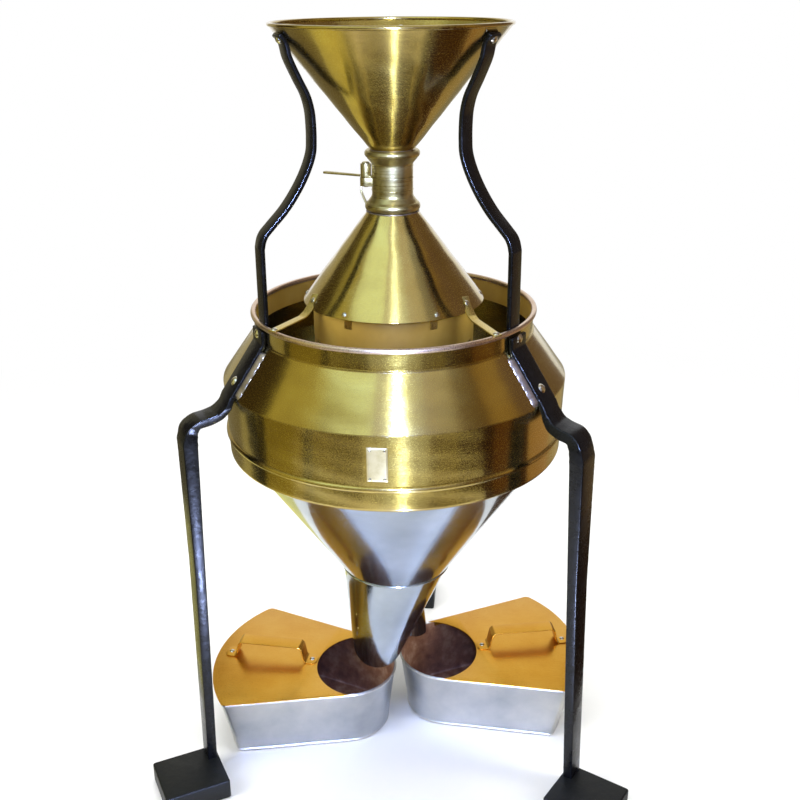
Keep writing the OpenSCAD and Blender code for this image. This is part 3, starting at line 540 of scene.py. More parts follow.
def outward(az):
    """Unit vector from the axis toward az."""
    return np.array([math.sin(math.radians(az)), -math.cos(math.radians(az)), 0.0])


def on_cone(az, radius, height, slope, lift=0.0, up=1):
    """Place on a cone and its outward normal. slope is the change of radius with height, up or down."""
    tilt = math.atan(slope)
    normal = outward(az) * math.cos(tilt) + np.array([0, 0, up * math.sin(tilt)])
    return outward(az) * radius + np.array([0, 0, height]) + normal * lift, normal


# Hopper: a cone of sheet whose rim is rolled outward round a wire

rim = np.array([HOPPER_R - HOPPER_ROLL, TOP - HOPPER_ROLL])
lean = unit(np.array([HOPPER_K, 1.0]))
inner_turn = math.degrees(math.atan2(-lean[1], -lean[0])) + 360
outer_foot = -lean * math.sqrt(HOPPER_ROLL**2 - SHEET**2) + np.array([lean[1], -lean[0]]) * SHEET
outer_turn = math.degrees(math.atan2(outer_foot[1], outer_foot[0]))
inner_side = eased([[BORE_R, SEAT], rim - lean * HOPPER_ROLL], 0, closed=False)
outer_side = eased([rim + outer_foot, [BORE_R + HOPPER_T, SEAT]], 0, closed=False)
roll = arc(rim, HOPPER_ROLL, inner_turn - 6, outer_turn + 6, 40)
hopper_line = np.concatenate([inner_side, roll, outer_side])
part("hopper_cone", [turned(hopper_line)], brass_sheet, ["hopper"])

# Throat: two flanged castings with rounded lips, joined by the slotted collar

CUP_H, CUP_LIP, FOOT_LIP, TURNED_H = 16.0, 4.0, 5.0, 21.6
upper_line = np.concatenate([
    eased([[BORE_R, THROAT_TOP - CUP_H], [TUBE_R, THROAT_TOP - CUP_H], [TUBE_R, THROAT_TOP - CUP_H + 2],
           [25.6, THROAT_TOP - 8.4]], [0.3, 0.3, 4.0, 0], closed=False, longest=2.0),
    arc((24.1, THROAT_TOP - CUP_LIP), CUP_LIP, -62, 90, 18),
    eased([[22.6, THROAT_TOP], [BORE_R + HOPPER_T, SEAT], [BORE_R, SEAT]], 0.2, closed=False, longest=2.0)])
part("throat_cup", [turned(upper_line, 144, worked=False)], cast_brass, ["throat_upper"])
lower_line = np.concatenate([
    [[BORE_R, THROAT_FOOT]], arc((23.4, THROAT_FOOT + FOOT_LIP), FOOT_LIP, -90, 66, 18),
    eased([[24.4, THROAT_FOOT + 11], [TUBE_R + 0.8, THROAT_FOOT + 14.5], [TUBE_R, THROAT_FOOT + 17],
           [TUBE_R, THROAT_FOOT + TURNED_H], [BORE_R, THROAT_FOOT + TURNED_H]], [3, 3, 3, 0.3, 0.3],
          closed=False, longest=2.0)])
part("throat_foot", [turned(lower_line, 144, worked=False)], cast_brass, ["throat_lower"])
dressed("throat_slotted_ring", "gate_collar", cast_brass)


def bead_ring(radius, height, size, segments=240, flat=1.0):
    """A thin round ring about the axis, such as a run of solder or a turned line."""
    a = np.linspace(0, 360, 14, endpoint=False)
    line = np.stack([radius + size * np.cos(np.radians(a)), height + size * flat * np.sin(np.radians(a))], 1)
    return turned(line, segments, worked=False)


# Turned lines that stand proud on the throat, and the solder where hopper and hood join it
part("throat_lines", [bead_ring(TUBE_R - 0.1, THROAT_FOOT + h, 0.55, 120) for h in (TURNED_H, 46.0)],
     cast_brass)
part("throat_solder", [bead_ring(BORE_R + HOPPER_T + 2.6, THROAT_TOP + 0.1, 0.8, 120, 0.6),
                       bead_ring(HOOD_TOP_R + 0.2, THROAT_FOOT - 0.1, 0.8, 120, 0.8)], solder)

# Hood: the cone that spreads the grain over the channels

hood_line = eased([[BORE_R + 1, THROAT_FOOT], [HOOD_TOP_R, THROAT_FOOT], [HOOD_R, HOOD_Z],
                   [HOOD_R - HOOD_T, HOOD_Z], [HOOD_TOP_R - HOOD_T + HOOD_K * SHEET, THROAT_FOOT - SHEET],
                   [BORE_R + 1, THROAT_FOOT - SHEET]], [0.3, 1.2, 0.45, 0.45, 0.4, 0.3])
part("hood_cone", [turned(hood_line)], brass_sheet, ["hood"])

# Body: rolled rim and collar, shoulder cone, band with its bead

roll_inner = math.degrees(math.atan2(-math.sqrt(RIM_ROLL**2 - 1.9**2), -1.9)) + 360
roll_outer = math.degrees(math.atan2(-math.sqrt(RIM_ROLL**2 - 0.7**2), -0.7))
collar_line = np.concatenate([
    eased([[COLLAR_IN, STEP_Z - 3], [COLLAR_IN, RIM_Z - 2.3]], 0, closed=False, longest=3),
    arc((ROLL_R, RIM_Z), RIM_ROLL, roll_inner - 5, roll_outer + 5, 34),
    eased([[COLLAR_R, RIM_Z - 3.0], [COLLAR_R, STEP_Z - 3]], 0, closed=False, longest=3)])
body_rim = part("body_rim", [turned(collar_line)], brass_sheet, ["body_collar"]).data
body_rim.materials.append(rim_brass)
body_rim.materials.append(inner_brass)
x, y, z = face_rows(body_rim, "center").T
facing_in = np.hypot(x, y - AXIS_Y * MM) < (COLLAR_IN + 0.3) * MM
kind = np.where(z > (RIM_Z - 2.2) * MM, 1, np.where(facing_in, 2, 0))
body_rim.polygons.foreach_set("material_index", kind.astype(np.int32))
inner_z = EDGE_Z + (BODY_R - SHOULDER_T - COLLAR_R) / SHOULDER_K
outer_z = EDGE_Z + (BODY_R - COLLAR_R - SHEET) / SHOULDER_K
shoulder_line = eased([[BODY_R, EDGE_Z], [COLLAR_R + SHEET, outer_z], [COLLAR_R + SHEET, inner_z + 2],
                       [COLLAR_R, inner_z + 2], [COLLAR_R, inner_z], [BODY_R - SHOULDER_T, EDGE_Z]],
                      [0.7, 2.5, 0.4, 0.1, 1.0, 0.2])
part("shoulder_cone", [turned(shoulder_line)], brass_sheet, ["body_shoulder"])
band_line = eased([[BODY_R, EDGE_Z], [BAND_LOW_R, BEAD_Z], [BAND_LOW_R - 0.5, BAND_FOOT],
                   [FUNNEL_R - 2, BAND_FOOT], [FUNNEL_R - 2, BAND_FOOT + SHEET],
                   [BAND_LOW_R - 0.5 - SHEET, BAND_FOOT + SHEET], [BAND_LOW_R - SHEET, BEAD_Z],
                   [BODY_R - SHEET, EDGE_Z]],
                  [0.7, 0, 3.2, 0.3, 0.3, 2.2, 0, 0.2])
part("body_band_drum", [turned(band_line)], brass_sheet, ["body_band"])
part("band_bead_ring", [turned(arc((BAND_LOW_R - 0.7, BEAD_Z), 3.2, -78, 78, 20))], brass_sheet,
     ["band_bead"], sharp=60)

# Nameplate: bare, with a raised border, on four pins

PLATE_W, PLATE_H = 20.0, 36.0
PLATE_Z, PLATE_MID = BEAD_Z + 9, BEAD_Z + 9 + PLATE_H / 2


def band_radius(z):
    """Outside radius of the band at a height."""
    return BAND_LOW_R + (BODY_R - BAND_LOW_R) * (z - BEAD_Z) / (EDGE_Z - BEAD_Z)


def wrapped(x, z, lift):
    """Lays a flat point on the front of the band, lifted off it."""
    r = band_radius(z) + lift
    a = x / band_radius(z)
    return np.stack([r * np.sin(a), -r * np.cos(a), z], -1)


def border(half_w, half_h, lift, size):
    """A thin raised frame, laid on the band: a ridge of half-round section along a rounded rectangle."""
    corners = [[-half_w, -half_h], [half_w, -half_h], [half_w, half_h], [-half_w, half_h]]
    line = eased(corners, 1.2, longest=1.5)
    step = unit(np.roll(line, -1, 0) - np.roll(line, 1, 0))
    side = np.stack([step[:, 1], -step[:, 0]], 1)
    a = np.radians(np.linspace(-20, 200, 7))
    flat = line[:, None] + side[:, None] * (size * np.cos(a))[None, :, None]
    return grid(wrapped(flat[..., 0], flat[..., 1] + PLATE_MID, lift + 0.7 * size * np.sin(a)), True, True)


u, v = np.meshgrid(np.linspace(-1, 1, 17), np.linspace(-1, 1, 25), indexing="ij")
edge = np.clip((1 - np.maximum(np.abs(u), np.abs(v))) * 12, 0, 1)
face, under = (wrapped(u * PLATE_W / 2, v * PLATE_H / 2 + PLATE_MID, lift)
               for lift in (0.1 + 0.7 * np.sqrt(edge * (2 - edge)), -0.3 + 0 * u))
sides = [grid(np.stack([face[k], under[k]])) for k in (0, -1, np.s_[:, 0], np.s_[:, -1])]
part("nameplate_blank", [grid(face), grid(under), *sides], plate_brass, ["nameplate"])
part("nameplate_border", [border(PLATE_W / 2 - 1.3, PLATE_H / 2 - 1.3, 0.75, 0.4)], plate_brass)
spots = [wrapped(x * (PLATE_W / 2 - 3), z, 0.7) for x in (-1, 1)
         for z in (PLATE_Z + 3, PLATE_Z + PLATE_H - 3)]
part("nameplate_pin_heads", [aimed(dome(1.5, 0.9), at, at * (1, 1, 0)) for at in spots], rivet_metal,
     ["nameplate_pins"])

# Inside the body: the funnel for the inward channels and the drum that holds the channels

RING_OUT, RING_FOOT, WALL = 84.0, 455.0, 1.0
INNER_FOOT_R, INNER_FOOT = 27.0, 250.0
inner_k = (RING_OUT + WALL + SHEET - INNER_FOOT_R) / (RING_FOOT - 3 - INNER_FOOT)
inner_t = SHEET * math.hypot(1, inner_k)
inner_line = eased([[RING_OUT + WALL, RING_FOOT + 3], [RING_OUT + WALL + SHEET, RING_FOOT + 3],
                    [RING_OUT + WALL + SHEET, RING_FOOT - 3], [INNER_FOOT_R, INNER_FOOT],
                    [INNER_FOOT_R - inner_t, INNER_FOOT], [RING_OUT + WALL + SHEET - inner_t, RING_FOOT - 3],
                    [RING_OUT + WALL, RING_FOOT - 2.8]], [0.3, 0.3, 1.5, 0.2, 0.2, 0.5, 0.05], longest=10)
part("inward_funnel_cone", [turned(inner_line, 160, worked=False)], bright_tin, ["inner_funnel"])
for node in ("channel_outer_wall", "channel_inner_wall", "spreader_cone"):
    dressed(node + "_sheet", node, inner_brass)

# Outer funnel with the bead at its foot, and the solder that holds it in the band

funnel_k = (FUNNEL_R - FUNNEL_FOOT_R) / (BAND_FOOT - FUNNEL_FOOT)
funnel_t = SHEET * math.hypot(1, funnel_k)
funnel_line = eased([[FUNNEL_R, BAND_FOOT], [FUNNEL_FOOT_R, FUNNEL_FOOT],
                     [FUNNEL_FOOT_R - funnel_t, FUNNEL_FOOT], [FUNNEL_R - funnel_t, BAND_FOOT]], 0.25)
part("funnel_cone", [turned(funnel_line, worked=False)], bright_tin, ["outer_funnel"])
part("funnel_foot_bead", [bead_ring(FUNNEL_FOOT_R + 0.6, FUNNEL_FOOT + 1.6, 1.7)], bright_tin,
     ["funnel_bead"])
part("funnel_solder", [bead_ring(FUNNEL_R + 0.5, BAND_FOOT - 0.3, 0.8)], solder)


# Spouts: leaning cones of sheet

def spout(r0, z0, centre, r1, z1, plane=None, rows=36, segments=180):
    """A cone that leans: centre and radius run straight from the top to the foot. Every line of it is
    straight, so a slanting mouth is where each line meets the plane, given by a point and a normal."""
    a = np.radians(np.arange(segments) * 360 / segments)
    ring = np.stack([np.cos(a), np.sin(a), 0 * a], 1)
    foot_centre = np.array([*centre, z1])
    both = []
    for off in (0.0, SHEET):
        top = ring * (r0 - off) + (0, 0, z0)
        foot = ring * (r1 - off) + foot_centre
        end = np.ones(segments)
        if plane is not None:
            at, n = plane
            end = ((at - top) @ n) / ((foot - top) @ n)
        t = np.linspace(0, 1, rows)[:, None] * end
        both.append(top + (foot - top) * t[..., None])
    outer, inner = both
    down = unit(outer[-1] - outer[-2]) * 0.3
    lip = [(outer[-1] * (1 - s) + inner[-1] * s + down)[None] for s in (0.3, 0.7)]
    return grid(np.concatenate([outer, *lip, inner[::-1]]), wrap_u=True, wrap_v=True)


LEAN, LEAN_DIR, MOUTH_R, MOUTH_Z, MOUTH_TILT, MOUTH_RISE = 24.0, 185.0, 28.0, 102.0, 33.0, 106.5
REAR_FOOT, REAR_R, REAR_Z = (19.5, 29.8), 14.5, 101.0
lean_foot = LEAN * np.array([math.cos(math.radians(LEAN_DIR)), math.sin(math.radians(LEAN_DIR))])
rise, tilt = math.radians(MOUTH_RISE), math.radians(MOUTH_TILT)
mouth = (np.array([*lean_foot, MOUTH_Z]),
         np.array([-math.sin(tilt) * math.cos(rise), -math.sin(tilt) * math.sin(rise), math.cos(tilt)]))
part("spout_slanted", [spout(FUNNEL_FOOT_R, FUNNEL_FOOT, lean_foot, MOUTH_R, MOUTH_Z - 12, mouth)],
     bright_tin, ["outer_spout"])
part("spout_rear", [spout(INNER_FOOT_R, INNER_FOOT, REAR_FOOT, REAR_R, REAR_Z)], bright_tin, ["inner_spout"])

# Bars that hold the hopper: forged flats with rounded edges, bent in to a waist

BAR_W, BAR_T, WAIST_R = 19.5, 5.0, 86.0


def hopper_radius(z):
    """Outside radius of the hopper at a height."""
    return BORE_R + HOPPER_T + HOPPER_K * (z - SEAT)


def bar_line():
    """Middle line of a bar, as radius and height, from the hopper's rim to the foot of the collar."""
    off = BAR_T / 2 - 0.2
    slope = math.atan(HOPPER_K)
    ends = [[hopper_radius(z) + off * math.cos(slope), z - off * math.sin(slope)]
            for z in (TOP - 7.6, TOP - 15)]
    out, back = ends[0][0] - WAIST_R, COLLAR_IN - BAR_T / 2 + 0.2 - WAIST_R
    height = [RIM_Z + f * (TOP - RIM_Z) for f in (0.893, 0.828, 0.775, 0.726, 0.68, 0.628, 0.582, 0.526,
                                                  0.463, 0.4, 0.347, 0.316, 0.281, 0.235)]
    shift = [f * out for f in (0.684, 0.404, 0.158, 0.035, 0, 0)]
    shift += [f * back for f in (0.022, 0.125, 0.3, 0.532, 0.79, 0.93, 0.99, 1)]
    bend = [[WAIST_R + s, z] for s, z in zip(shift, height)]
    return flowing(ends + bend + [[WAIST_R + back, 517.0], [WAIST_R + back, STEP_Z - 1]], 7)


for az, side in zip(MOUNTS, SIDES):
    bar = carried(bar_line(), BAR_T / 2, BAR_W / 2, 1.5)
    part("hopper_bar_" + side, [placed(bar, az - 90)], black_iron, ["bar_" + side])

# Legs: each is forged in one with the strap on the body, and stands in an iron block

LEG_TOP_R, LEG_FOOT_R, STRAP_W, LEG_W, LEG_T = 230.5, 238.5, 28.0, 21.0, 16.0
FOOT_H, FOOT_L, FOOT_W, FOOT_BACK, LEG_SET = 23.0, 72.0, 66.0, 12.0, 8.0
STRAP_C = 2.3


def leg_line():
    """Middle line of a leg, as radius and height, and half its thickness at each point."""
    k = SHOULDER_K
    c, s = 1 / math.hypot(1, k), k / math.hypot(1, k)
    bend = [COLLAR_R + STRAP_C, EDGE_Z + (BODY_R - COLLAR_R) / k + STRAP_C * s + (STRAP_C * c - STRAP_C) / k]
    line = [[COLLAR_R + STRAP_C, RIM_Z - RIM_ROLL - 1], bend, [BODY_R + STRAP_C * c, EDGE_Z + STRAP_C * s],
            [BODY_R + 6.5, EDGE_Z - 9], [BODY_R + 14, EDGE_Z - 17.5], [BODY_R + 25, EDGE_Z - 21.5],
            [LEG_TOP_R - 9, EDGE_Z - 23.5], [LEG_TOP_R - 2.5, EDGE_Z - 31], [LEG_TOP_R, EDGE_Z - 45],
            [LEG_TOP_R + (LEG_FOOT_R - LEG_TOP_R) * 0.25, 270], [LEG_FOOT_R, FOOT_H - 10]]
    thick = np.array([5, 5, 5.4, 7, 9, *(LEG_T * np.array([0.62, 0.62, 0.8, 1, 0.72, 0.66]))]) / 2
    smooth = eased(line, [0, 7, 4, 14, 16, 30, 10, 14, 40, 300, 0], closed=False, longest=8)
    corner_at = [np.argmin(np.linalg.norm(smooth - q, axis=1)) for q in np.array(line)]
    return smooth, np.interp(np.arange(len(smooth)), corner_at, thick)


def block(x0, x1, y0, y1, z0, z1, corner, bevel):
    """A block with rounded upright corners and eased edges above and below: outlines stacked by height."""
    steps = np.radians([0, 30, 60, 90])
    inset = np.concatenate([bevel * (1 - np.sin(steps)), bevel * (1 - np.sin(steps[::-1]))])
    height = np.concatenate([z0 + bevel * (1 - np.cos(steps)), z1 - bevel * (1 - np.cos(steps[::-1]))])
    return stacked([(eased([[x0 + e, y0 + e], [x1 - e, y0 + e], [x1 - e, y1 - e], [x0 + e, y1 - e]], corner,
                           longest=12), z) for e, z in zip(inset, height)], capped=True)


leg_path, leg_half = leg_line()
fall = np.clip((EDGE_Z - 31 - leg_path[:, 1]) / (EDGE_Z - 31 - FOOT_H + 10), 0, 1)
leg_width = (STRAP_W + (LEG_W - STRAP_W) * fall) / 2
for az, side, y0 in zip(MOUNTS, SIDES, (-FOOT_BACK, FOOT_BACK - FOOT_W, -FOOT_W / 2)):
    leg = carried(leg_path, leg_half, leg_width, 1.3)
    height = leg["p"][..., 2]
    leg["p"][..., 1] -= np.interp(height, [FOOT_H - 10, EDGE_Z - 31, EDGE_Z - 9], [0, LEG_SET, 0])
    part("forged_leg_" + side, [placed(leg, az - 90)], black_iron, ["leg_" + side])
    foot = block(LEG_FOOT_R - 8, LEG_FOOT_R - 8 + FOOT_L, y0, y0 + FOOT_W, 0.0, FOOT_H, 2.5, 1.6)
    part("foot_block_" + side, [placed(foot, az - 90)], foot_iron, ["foot_" + side])

# A broad pale run in the solder material along the strap's edge on the shoulder, feathered out on to the
# cone

PALE_RUN_W, PALE_RUN_H = 7.0, 2.2


def pale_run_on_shoulder(az, side):
    """A pale run on the shoulder cone beside a strap: thick at the strap and thin at its outer edge,
    with a slightly uneven border."""
    z, across = np.meshgrid(np.linspace(EDGE_Z + 1.5, STEP_Z - 4, 40), np.linspace(0, 1, 8), indexing="ij")
    wobble = 1 + 0.07 * np.sin(z * 0.9) + 0.05 * np.sin(z * 2.3 + 1)
    ends = np.sqrt(np.clip(np.minimum(z - EDGE_Z - 1.4, STEP_Z - 3.9 - z) / 2.5, 0, 1))
    radius = BODY_R - (z - EDGE_Z) * SHOULDER_K
    off = STRAP_W / 2 - 0.5 + PALE_RUN_W * wobble * across
    angle = np.radians(az - 90) + side * np.arcsin(off / radius)
    lift = PALE_RUN_H * (1 - across**1.6) * ends
    top, low = (np.stack([r * np.cos(angle), r * np.sin(angle), h], -1)
                for r, h in ((radius + lift, z + lift * SHOULDER_K), (radius - 0.4, z)))
    return grid(np.concatenate([top, low[:, ::-1]], 1), wrap_v=True, capped=True)


part("strap_pale_run", [pale_run_on_shoulder(az, side) for az, side in zip(MOUNTS, (1, -1, 1))], solder,
     sharp=60)

# Strips from the hood to the rim, with a pad that lies on the hood

STRUT_TURNS = (13.0, -13.0, 13.0)
STRUT_R, STRUT_W, STRUT_T = 90.0, 9.0, 1.5
strut_z = HOOD_Z + (HOOD_R - STRUT_R) / HOOD_K
strips = []
for az, turn in zip(MOUNTS, STRUT_TURNS):
    start = outward(az) * STRUT_R
    reach = outward(az + turn) * ROLL_R - start
    length = np.linalg.norm(reach)
    top = RIM_Z + RIM_ROLL - 0.2 + STRUT_T / 2
    line = eased([[-4.5, strut_z + 6.2], [3.2, strut_z - 3.2], [13, strut_z - 9.5], [20, strut_z - 12],
                  [length - 4, top], [length + 4.5, top]], [0, 3, 6, 8, 6, 0], closed=False, longest=3)
    strips.append(placed(carried(line, STRUT_T / 2, STRUT_W / 2, 0.5),
                         math.degrees(math.atan2(reach[1], reach[0])), start))
part("hood_strips", strips, brass_strip, ["struts"])

# Rivets


def heads(name, spots, radius, height, node, shank=0.0):
    """One mesh of rivet heads at places with their directions, and of heads at their shanks' far ends."""
    pairs = [[(at, axis), (at - axis * shank, -axis)][:2 if shank else 1] for at, axis in spots]
    part(name, [aimed(dome(radius, height), *end) for pair in pairs for end in pair], rivet_metal, [node])


BAR_RIVET_Z, COLLAR_RIVET_Z, SHOULDER_UP, SKIRT_UP = TOP - 11.8, RIM_Z - 9, 12.5, 3.4
heads("bar_rivet_heads",
      [on_cone(az, hopper_radius(BAR_RIVET_Z), BAR_RIVET_Z, HOPPER_K, BAR_T - 0.2, up=-1) for az in MOUNTS],
      4.2, 2.2, "bar_rivets", BAR_T + SHEET - 0.1)
heads("collar_rivet_heads", [on_cone(az, COLLAR_R, COLLAR_RIVET_Z, 0, 4.8) for az in MOUNTS],
      5.0, 2.4, "collar_rivets", BAR_T + SHEET + 4.6)
heads("shoulder_rivet_heads",
      [on_cone(az, BODY_R - SHOULDER_UP * SHOULDER_K, EDGE_Z + SHOULDER_UP, SHOULDER_K, 4.98)
       for az in MOUNTS], 5.0, 2.4, "shoulder_rivets", SHEET + 5.06)
heads("strip_hood_rivet_heads", [on_cone(az, STRUT_R, strut_z, HOOD_K, STRUT_T) for az in MOUNTS],
      3.4, 1.6, "strut_hood_rivets", SHEET + STRUT_T + 0.07)
heads("strip_rim_rivet_heads",
      [(outward(az + turn) * ROLL_R + (0, 0, RIM_Z + RIM_ROLL - 0.2 + STRUT_T), np.array([0, 0, 1.0]))
       for az, turn in zip(MOUNTS, STRUT_TURNS)], 3.4, 1.8, "strut_rim_rivets")
heads("hood_skirt_rivet_heads",
      [on_cone(33 + 60 * i, HOOD_R - SKIRT_UP, HOOD_Z + SKIRT_UP / HOOD_K, HOOD_K) for i in range(6)],
      2.6, 1.2, "hood_rivets", 2.5)

# Gate: barrel and lever on their pin, beside the collar

GATE_AZ, PIVOT_R, LEVER_SET, LEVER_LEN = -88.0, 27.0, 25.0, 50.5
SLOT_Z = THROAT_FOOT + 33.5
BARREL_R, BARREL_TOP, ARM_LOW = 5.4, SLOT_Z + 13.8, SLOT_Z - 8.5
PIN_R = 2.2
pivot = outward(GATE_AZ) * PIVOT_R
dressed("gate_disc", "gate_plate", cast_brass, 0.25, "gate")
lever_line = np.column_stack([np.linspace(BARREL_R - 0.6, LEVER_LEN, 32), np.full(32, SLOT_Z + 1.4)])
to_end = np.clip((LEVER_LEN - lever_line[:, 0]) / 3.5, 0, 1)
lever_half = np.interp(lever_line[:, 0], [0, 14, LEVER_LEN - 3.5], [2.0, 2.2, 3.5])
lever_half *= 0.35 + 0.65 * np.sqrt(to_end * (2 - to_end))
lever = placed(carried(lever_line, 1.0, lever_half, 0.6), GATE_AZ - 90 - LEVER_SET, pivot)
part("gate_lever_arm", [lever], cast_brass, ["gate_lever"], "gate")
pin_line = eased([[0.01, ARM_LOW - 1.2], [2.4, ARM_LOW - 1.1], [3.2, ARM_LOW], [PIN_R, ARM_LOW],
                  [PIN_R, BARREL_TOP + 0.2], [4.2, BARREL_TOP + 0.2], [3.4, BARREL_TOP + 1.8],
                  [0.01, BARREL_TOP + 2.2]], [0, 0.8, 0.2, 0, 0, 0.2, 1.2, 0], longest=4)
pin = barrel(pin_line, 40)
pin["p"] = pin["p"] + pivot
part("gate_pin_rod", [pin], cast_brass, ["gate_pin"])
dressed("gate_bracket_lug", "gate_bracket", cast_brass, 0.4)
dressed("gate_brace_strip", "gate_brace", cast_brass, 0.2)

# Pans: drafted wedge-shaped tubs with a rolled rim, a lid with a flange and a strap handle

PAN_H, PAN_FAR, PAN_NEAR, PAN_HALF, DRAFT, DRAFT_FAR = 74.8, 158.0, 60.0, 16.8, 9.0, 16.0
PAN_LIFT, PAN_T, RIM_H, RIM_OUT, PAN_CORNER = 0.2, 1.0, 3.0, 1.8, 5.0
LID_OVER, LID_FIT, LID_T, LID_GAP, CUT_R, CUT_OFF = 2.4, 0.5, 1.0, 0.1, 61.0, 27.0
GRIP_X = (42.0, 144.0)
GRIP_T = 1.5
GRIP_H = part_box("left_handle")[1].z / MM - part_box("left_handle")[0].z / MM
GRIP_W = 19.0


# Points of the pan's outline: wide arc, corner, straight side, narrow arc, and side up to the cut-out
ARC_N, CORNER_N, SIDE_N, NEAR_N, HORN_N = 60, 11, 24, 64, 29


def wedge(near, far):
    """A pan's outline about its pole as centres, radii and directions, so that it can grow by any amount: a
    wide arc, a corner, a straight side, a narrow arc, a straight side and a corner."""
    q = 90 + PAN_HALF
    k = far - PAN_CORNER
    t = q - math.degrees(math.acos((near - PAN_CORNER) / k))
    turns = [np.linspace(-t, t, ARC_N), np.linspace(t, q, CORNER_N + 1)[1:], np.full(SIDE_N, q),
             np.linspace(q, 360 - q, NEAR_N), np.full(SIDE_N, 360 - q),
             np.linspace(360 - q, 360 - t, CORNER_N + 1)[:-1]]
    way = np.linspace(0, 1, SIDE_N + 2)[1:-1]
    c = k * np.array([math.cos(math.radians(t)), math.sin(math.radians(t))])
    down = c * (1, -1)
    centres = [np.zeros((ARC_N, 2)), np.tile(c, (CORNER_N, 1)), (1 - way)[:, None] * c,
               np.zeros((NEAR_N, 2)), way[:, None] * down, np.tile(down, (CORNER_N, 1))]
    sizes = [np.full(ARC_N, far), np.full(CORNER_N, PAN_CORNER), PAN_CORNER + (near - PAN_CORNER) * way,
             np.full(NEAR_N, near), near + (PAN_CORNER - near) * way, np.full(CORNER_N, PAN_CORNER)]
    return np.concatenate(centres), np.concatenate(sizes), np.radians(np.concatenate(turns))


def grown(line, e):
    """The outline moved outward by e."""
    c, r, a = line
    return c + (r + e)[:, None] * np.stack([np.cos(a), np.sin(a)], 1)


TOP_LINE, FOOT_LINE = wedge(PAN_NEAR, PAN_FAR), wedge(PAN_NEAR - DRAFT, PAN_FAR - DRAFT_FAR)
WALL_TOP = PAN_H - RIM_H


def wall_level(z, e):
    """The pan's outline at a height, grown by e: a mean of the outlines at the rim and at the floor."""
    v = min(max(z, 0) / WALL_TOP, 1.0)
    return grown(FOOT_LINE, e) * (1 - v) + grown(TOP_LINE, e) * v, z


def tub():
    """The pan's wall and floor: up outside, over the lip, down inside."""
    quarter = np.radians(np.linspace(0, 90, 5))
    steps = [(1.4 * (1 - math.cos(a)), -1.4 * (1 - math.sin(a))) for a in quarter]
    steps += [(z, 0.0) for z in np.linspace(4, PAN_H - 0.5, 14)]
    steps += [(PAN_H - 0.5 + 0.5 * math.sin(a), -0.5 + 0.5 * math.cos(a))
              for a in np.radians(range(30, 151, 30))]
    steps += [(z, -PAN_T) for z in np.linspace(PAN_H - 0.5, 5, 14)]
    steps += [(PAN_T + 2.0 * (1 - math.sin(a)), -PAN_T - 2.0 * (1 - math.cos(a))) for a in quarter]
    return stacked([wall_level(z, e) for z, e in steps], capped=True)


def hoop(line_of, z, out, high, steps=12):
    """A roll of sheet that follows an outline: an oval section, out wide and high tall."""
    a = np.radians(np.linspace(0, 360, steps, endpoint=False))
    levels = [(line_of(out / 2 + out / 2 * math.cos(t)), z + high / 2 + high / 2 * math.sin(t)) for t in a]
    return stacked(levels, wrap_u=True)


def lid_line(e, cut):
    """The lid's outline grown by e: the straight sides start where they meet the round cut-out, and the
    cut-out's arc closes it."""
    q = math.radians(90 + PAN_HALF)
    n = np.array([math.cos(q), math.sin(q)])
    bow = ARC_N + CORNER_N
    corner = TOP_LINE[0][bow - 1] + (PAN_CORNER + e) * n
    end = (PAN_NEAR + e) * n
    d = corner - end
    f = end + (CUT_OFF, 0)
    b, k = f @ d, f @ f - cut**2
    horn = end + d * ((-b + math.sqrt(b * b - (d @ d) * k)) / (d @ d))
    up = corner + (horn - corner) * np.linspace(0, 1, HORN_N + 1)[1:, None]
    turn = math.atan2(horn[1], horn[0] + CUT_OFF)
    round_cut = arc((-CUT_OFF, 0), cut, math.degrees(turn), -math.degrees(turn), 60)[1:-1]
    line = grown(TOP_LINE, e)
    return np.concatenate([line[:bow], up, round_cut, (up * (1, -1))[::-1], line[-CORNER_N:]])


def lid_plate():
    """The lid: its outline stacked by height, with eased edges."""
    e = 0.35
    z0 = PAN_H + LID_GAP
    steps = [(-e, z0), (-0.1, z0 + 0.1), (0, z0 + e), (0, z0 + LID_T - e), (-0.1, z0 + LID_T - 0.1),
             (-e, z0 + LID_T)]
    return stacked([(lid_line(LID_OVER + grow, CUT_R - grow), z) for grow, z in steps], capped=True)


def lid_flange():
    """The strip under the lid that sits inside the pan, from one end of the cut-out to the other."""
    z0 = PAN_H + LID_GAP
    size = len(lid_line(0, CUT_R))
    keep = np.r_[size - CORNER_N - HORN_N:size, 0:ARC_N + CORNER_N + HORN_N]
    outer = lid_line(-PAN_T - LID_FIT, CUT_R)[keep]
    inner = lid_line(-PAN_T - LID_FIT - LID_T, CUT_R)[keep]
    low, high = z0 - 4.4, z0 + 0.1
    strip = stacked([(outer, low), (outer, high), (inner, high), (inner, low)], capped=True)
    return {**strip, "p": strip["p"].transpose(1, 0, 2)}


def strap_handle():
    """The handle: a strap with round tabs on the lid, steep legs and a straight grip."""
    x0, x1 = GRIP_X
    z0 = PAN_H + LID_GAP + LID_T
    side = [[-7, GRIP_T / 2], [6, GRIP_T / 2], [8.5, GRIP_T / 2 + 2.5], [11.5, GRIP_H - 4],
            [14.5, GRIP_H - GRIP_T / 2]]
    path = [[x0 + x, z0 + z] for x, z in side] + [[x1 - x, z0 + z] for x, z in side[::-1]]
    line = eased(path, [0, 2.5, 2.5, 3, 3, 3, 3, 2.5, 2.5, 0], closed=False, longest=2)
    from_end = np.minimum(line[:, 0] - line[0, 0], line[-1, 0] - line[:, 0])
    tab = np.clip(1 - from_end / 7.0, 0, 1)
    return carried(line, GRIP_T / 2, GRIP_W / 2 * (0.5 + 0.5 * np.sqrt(1 - tab**2)), 0.5)


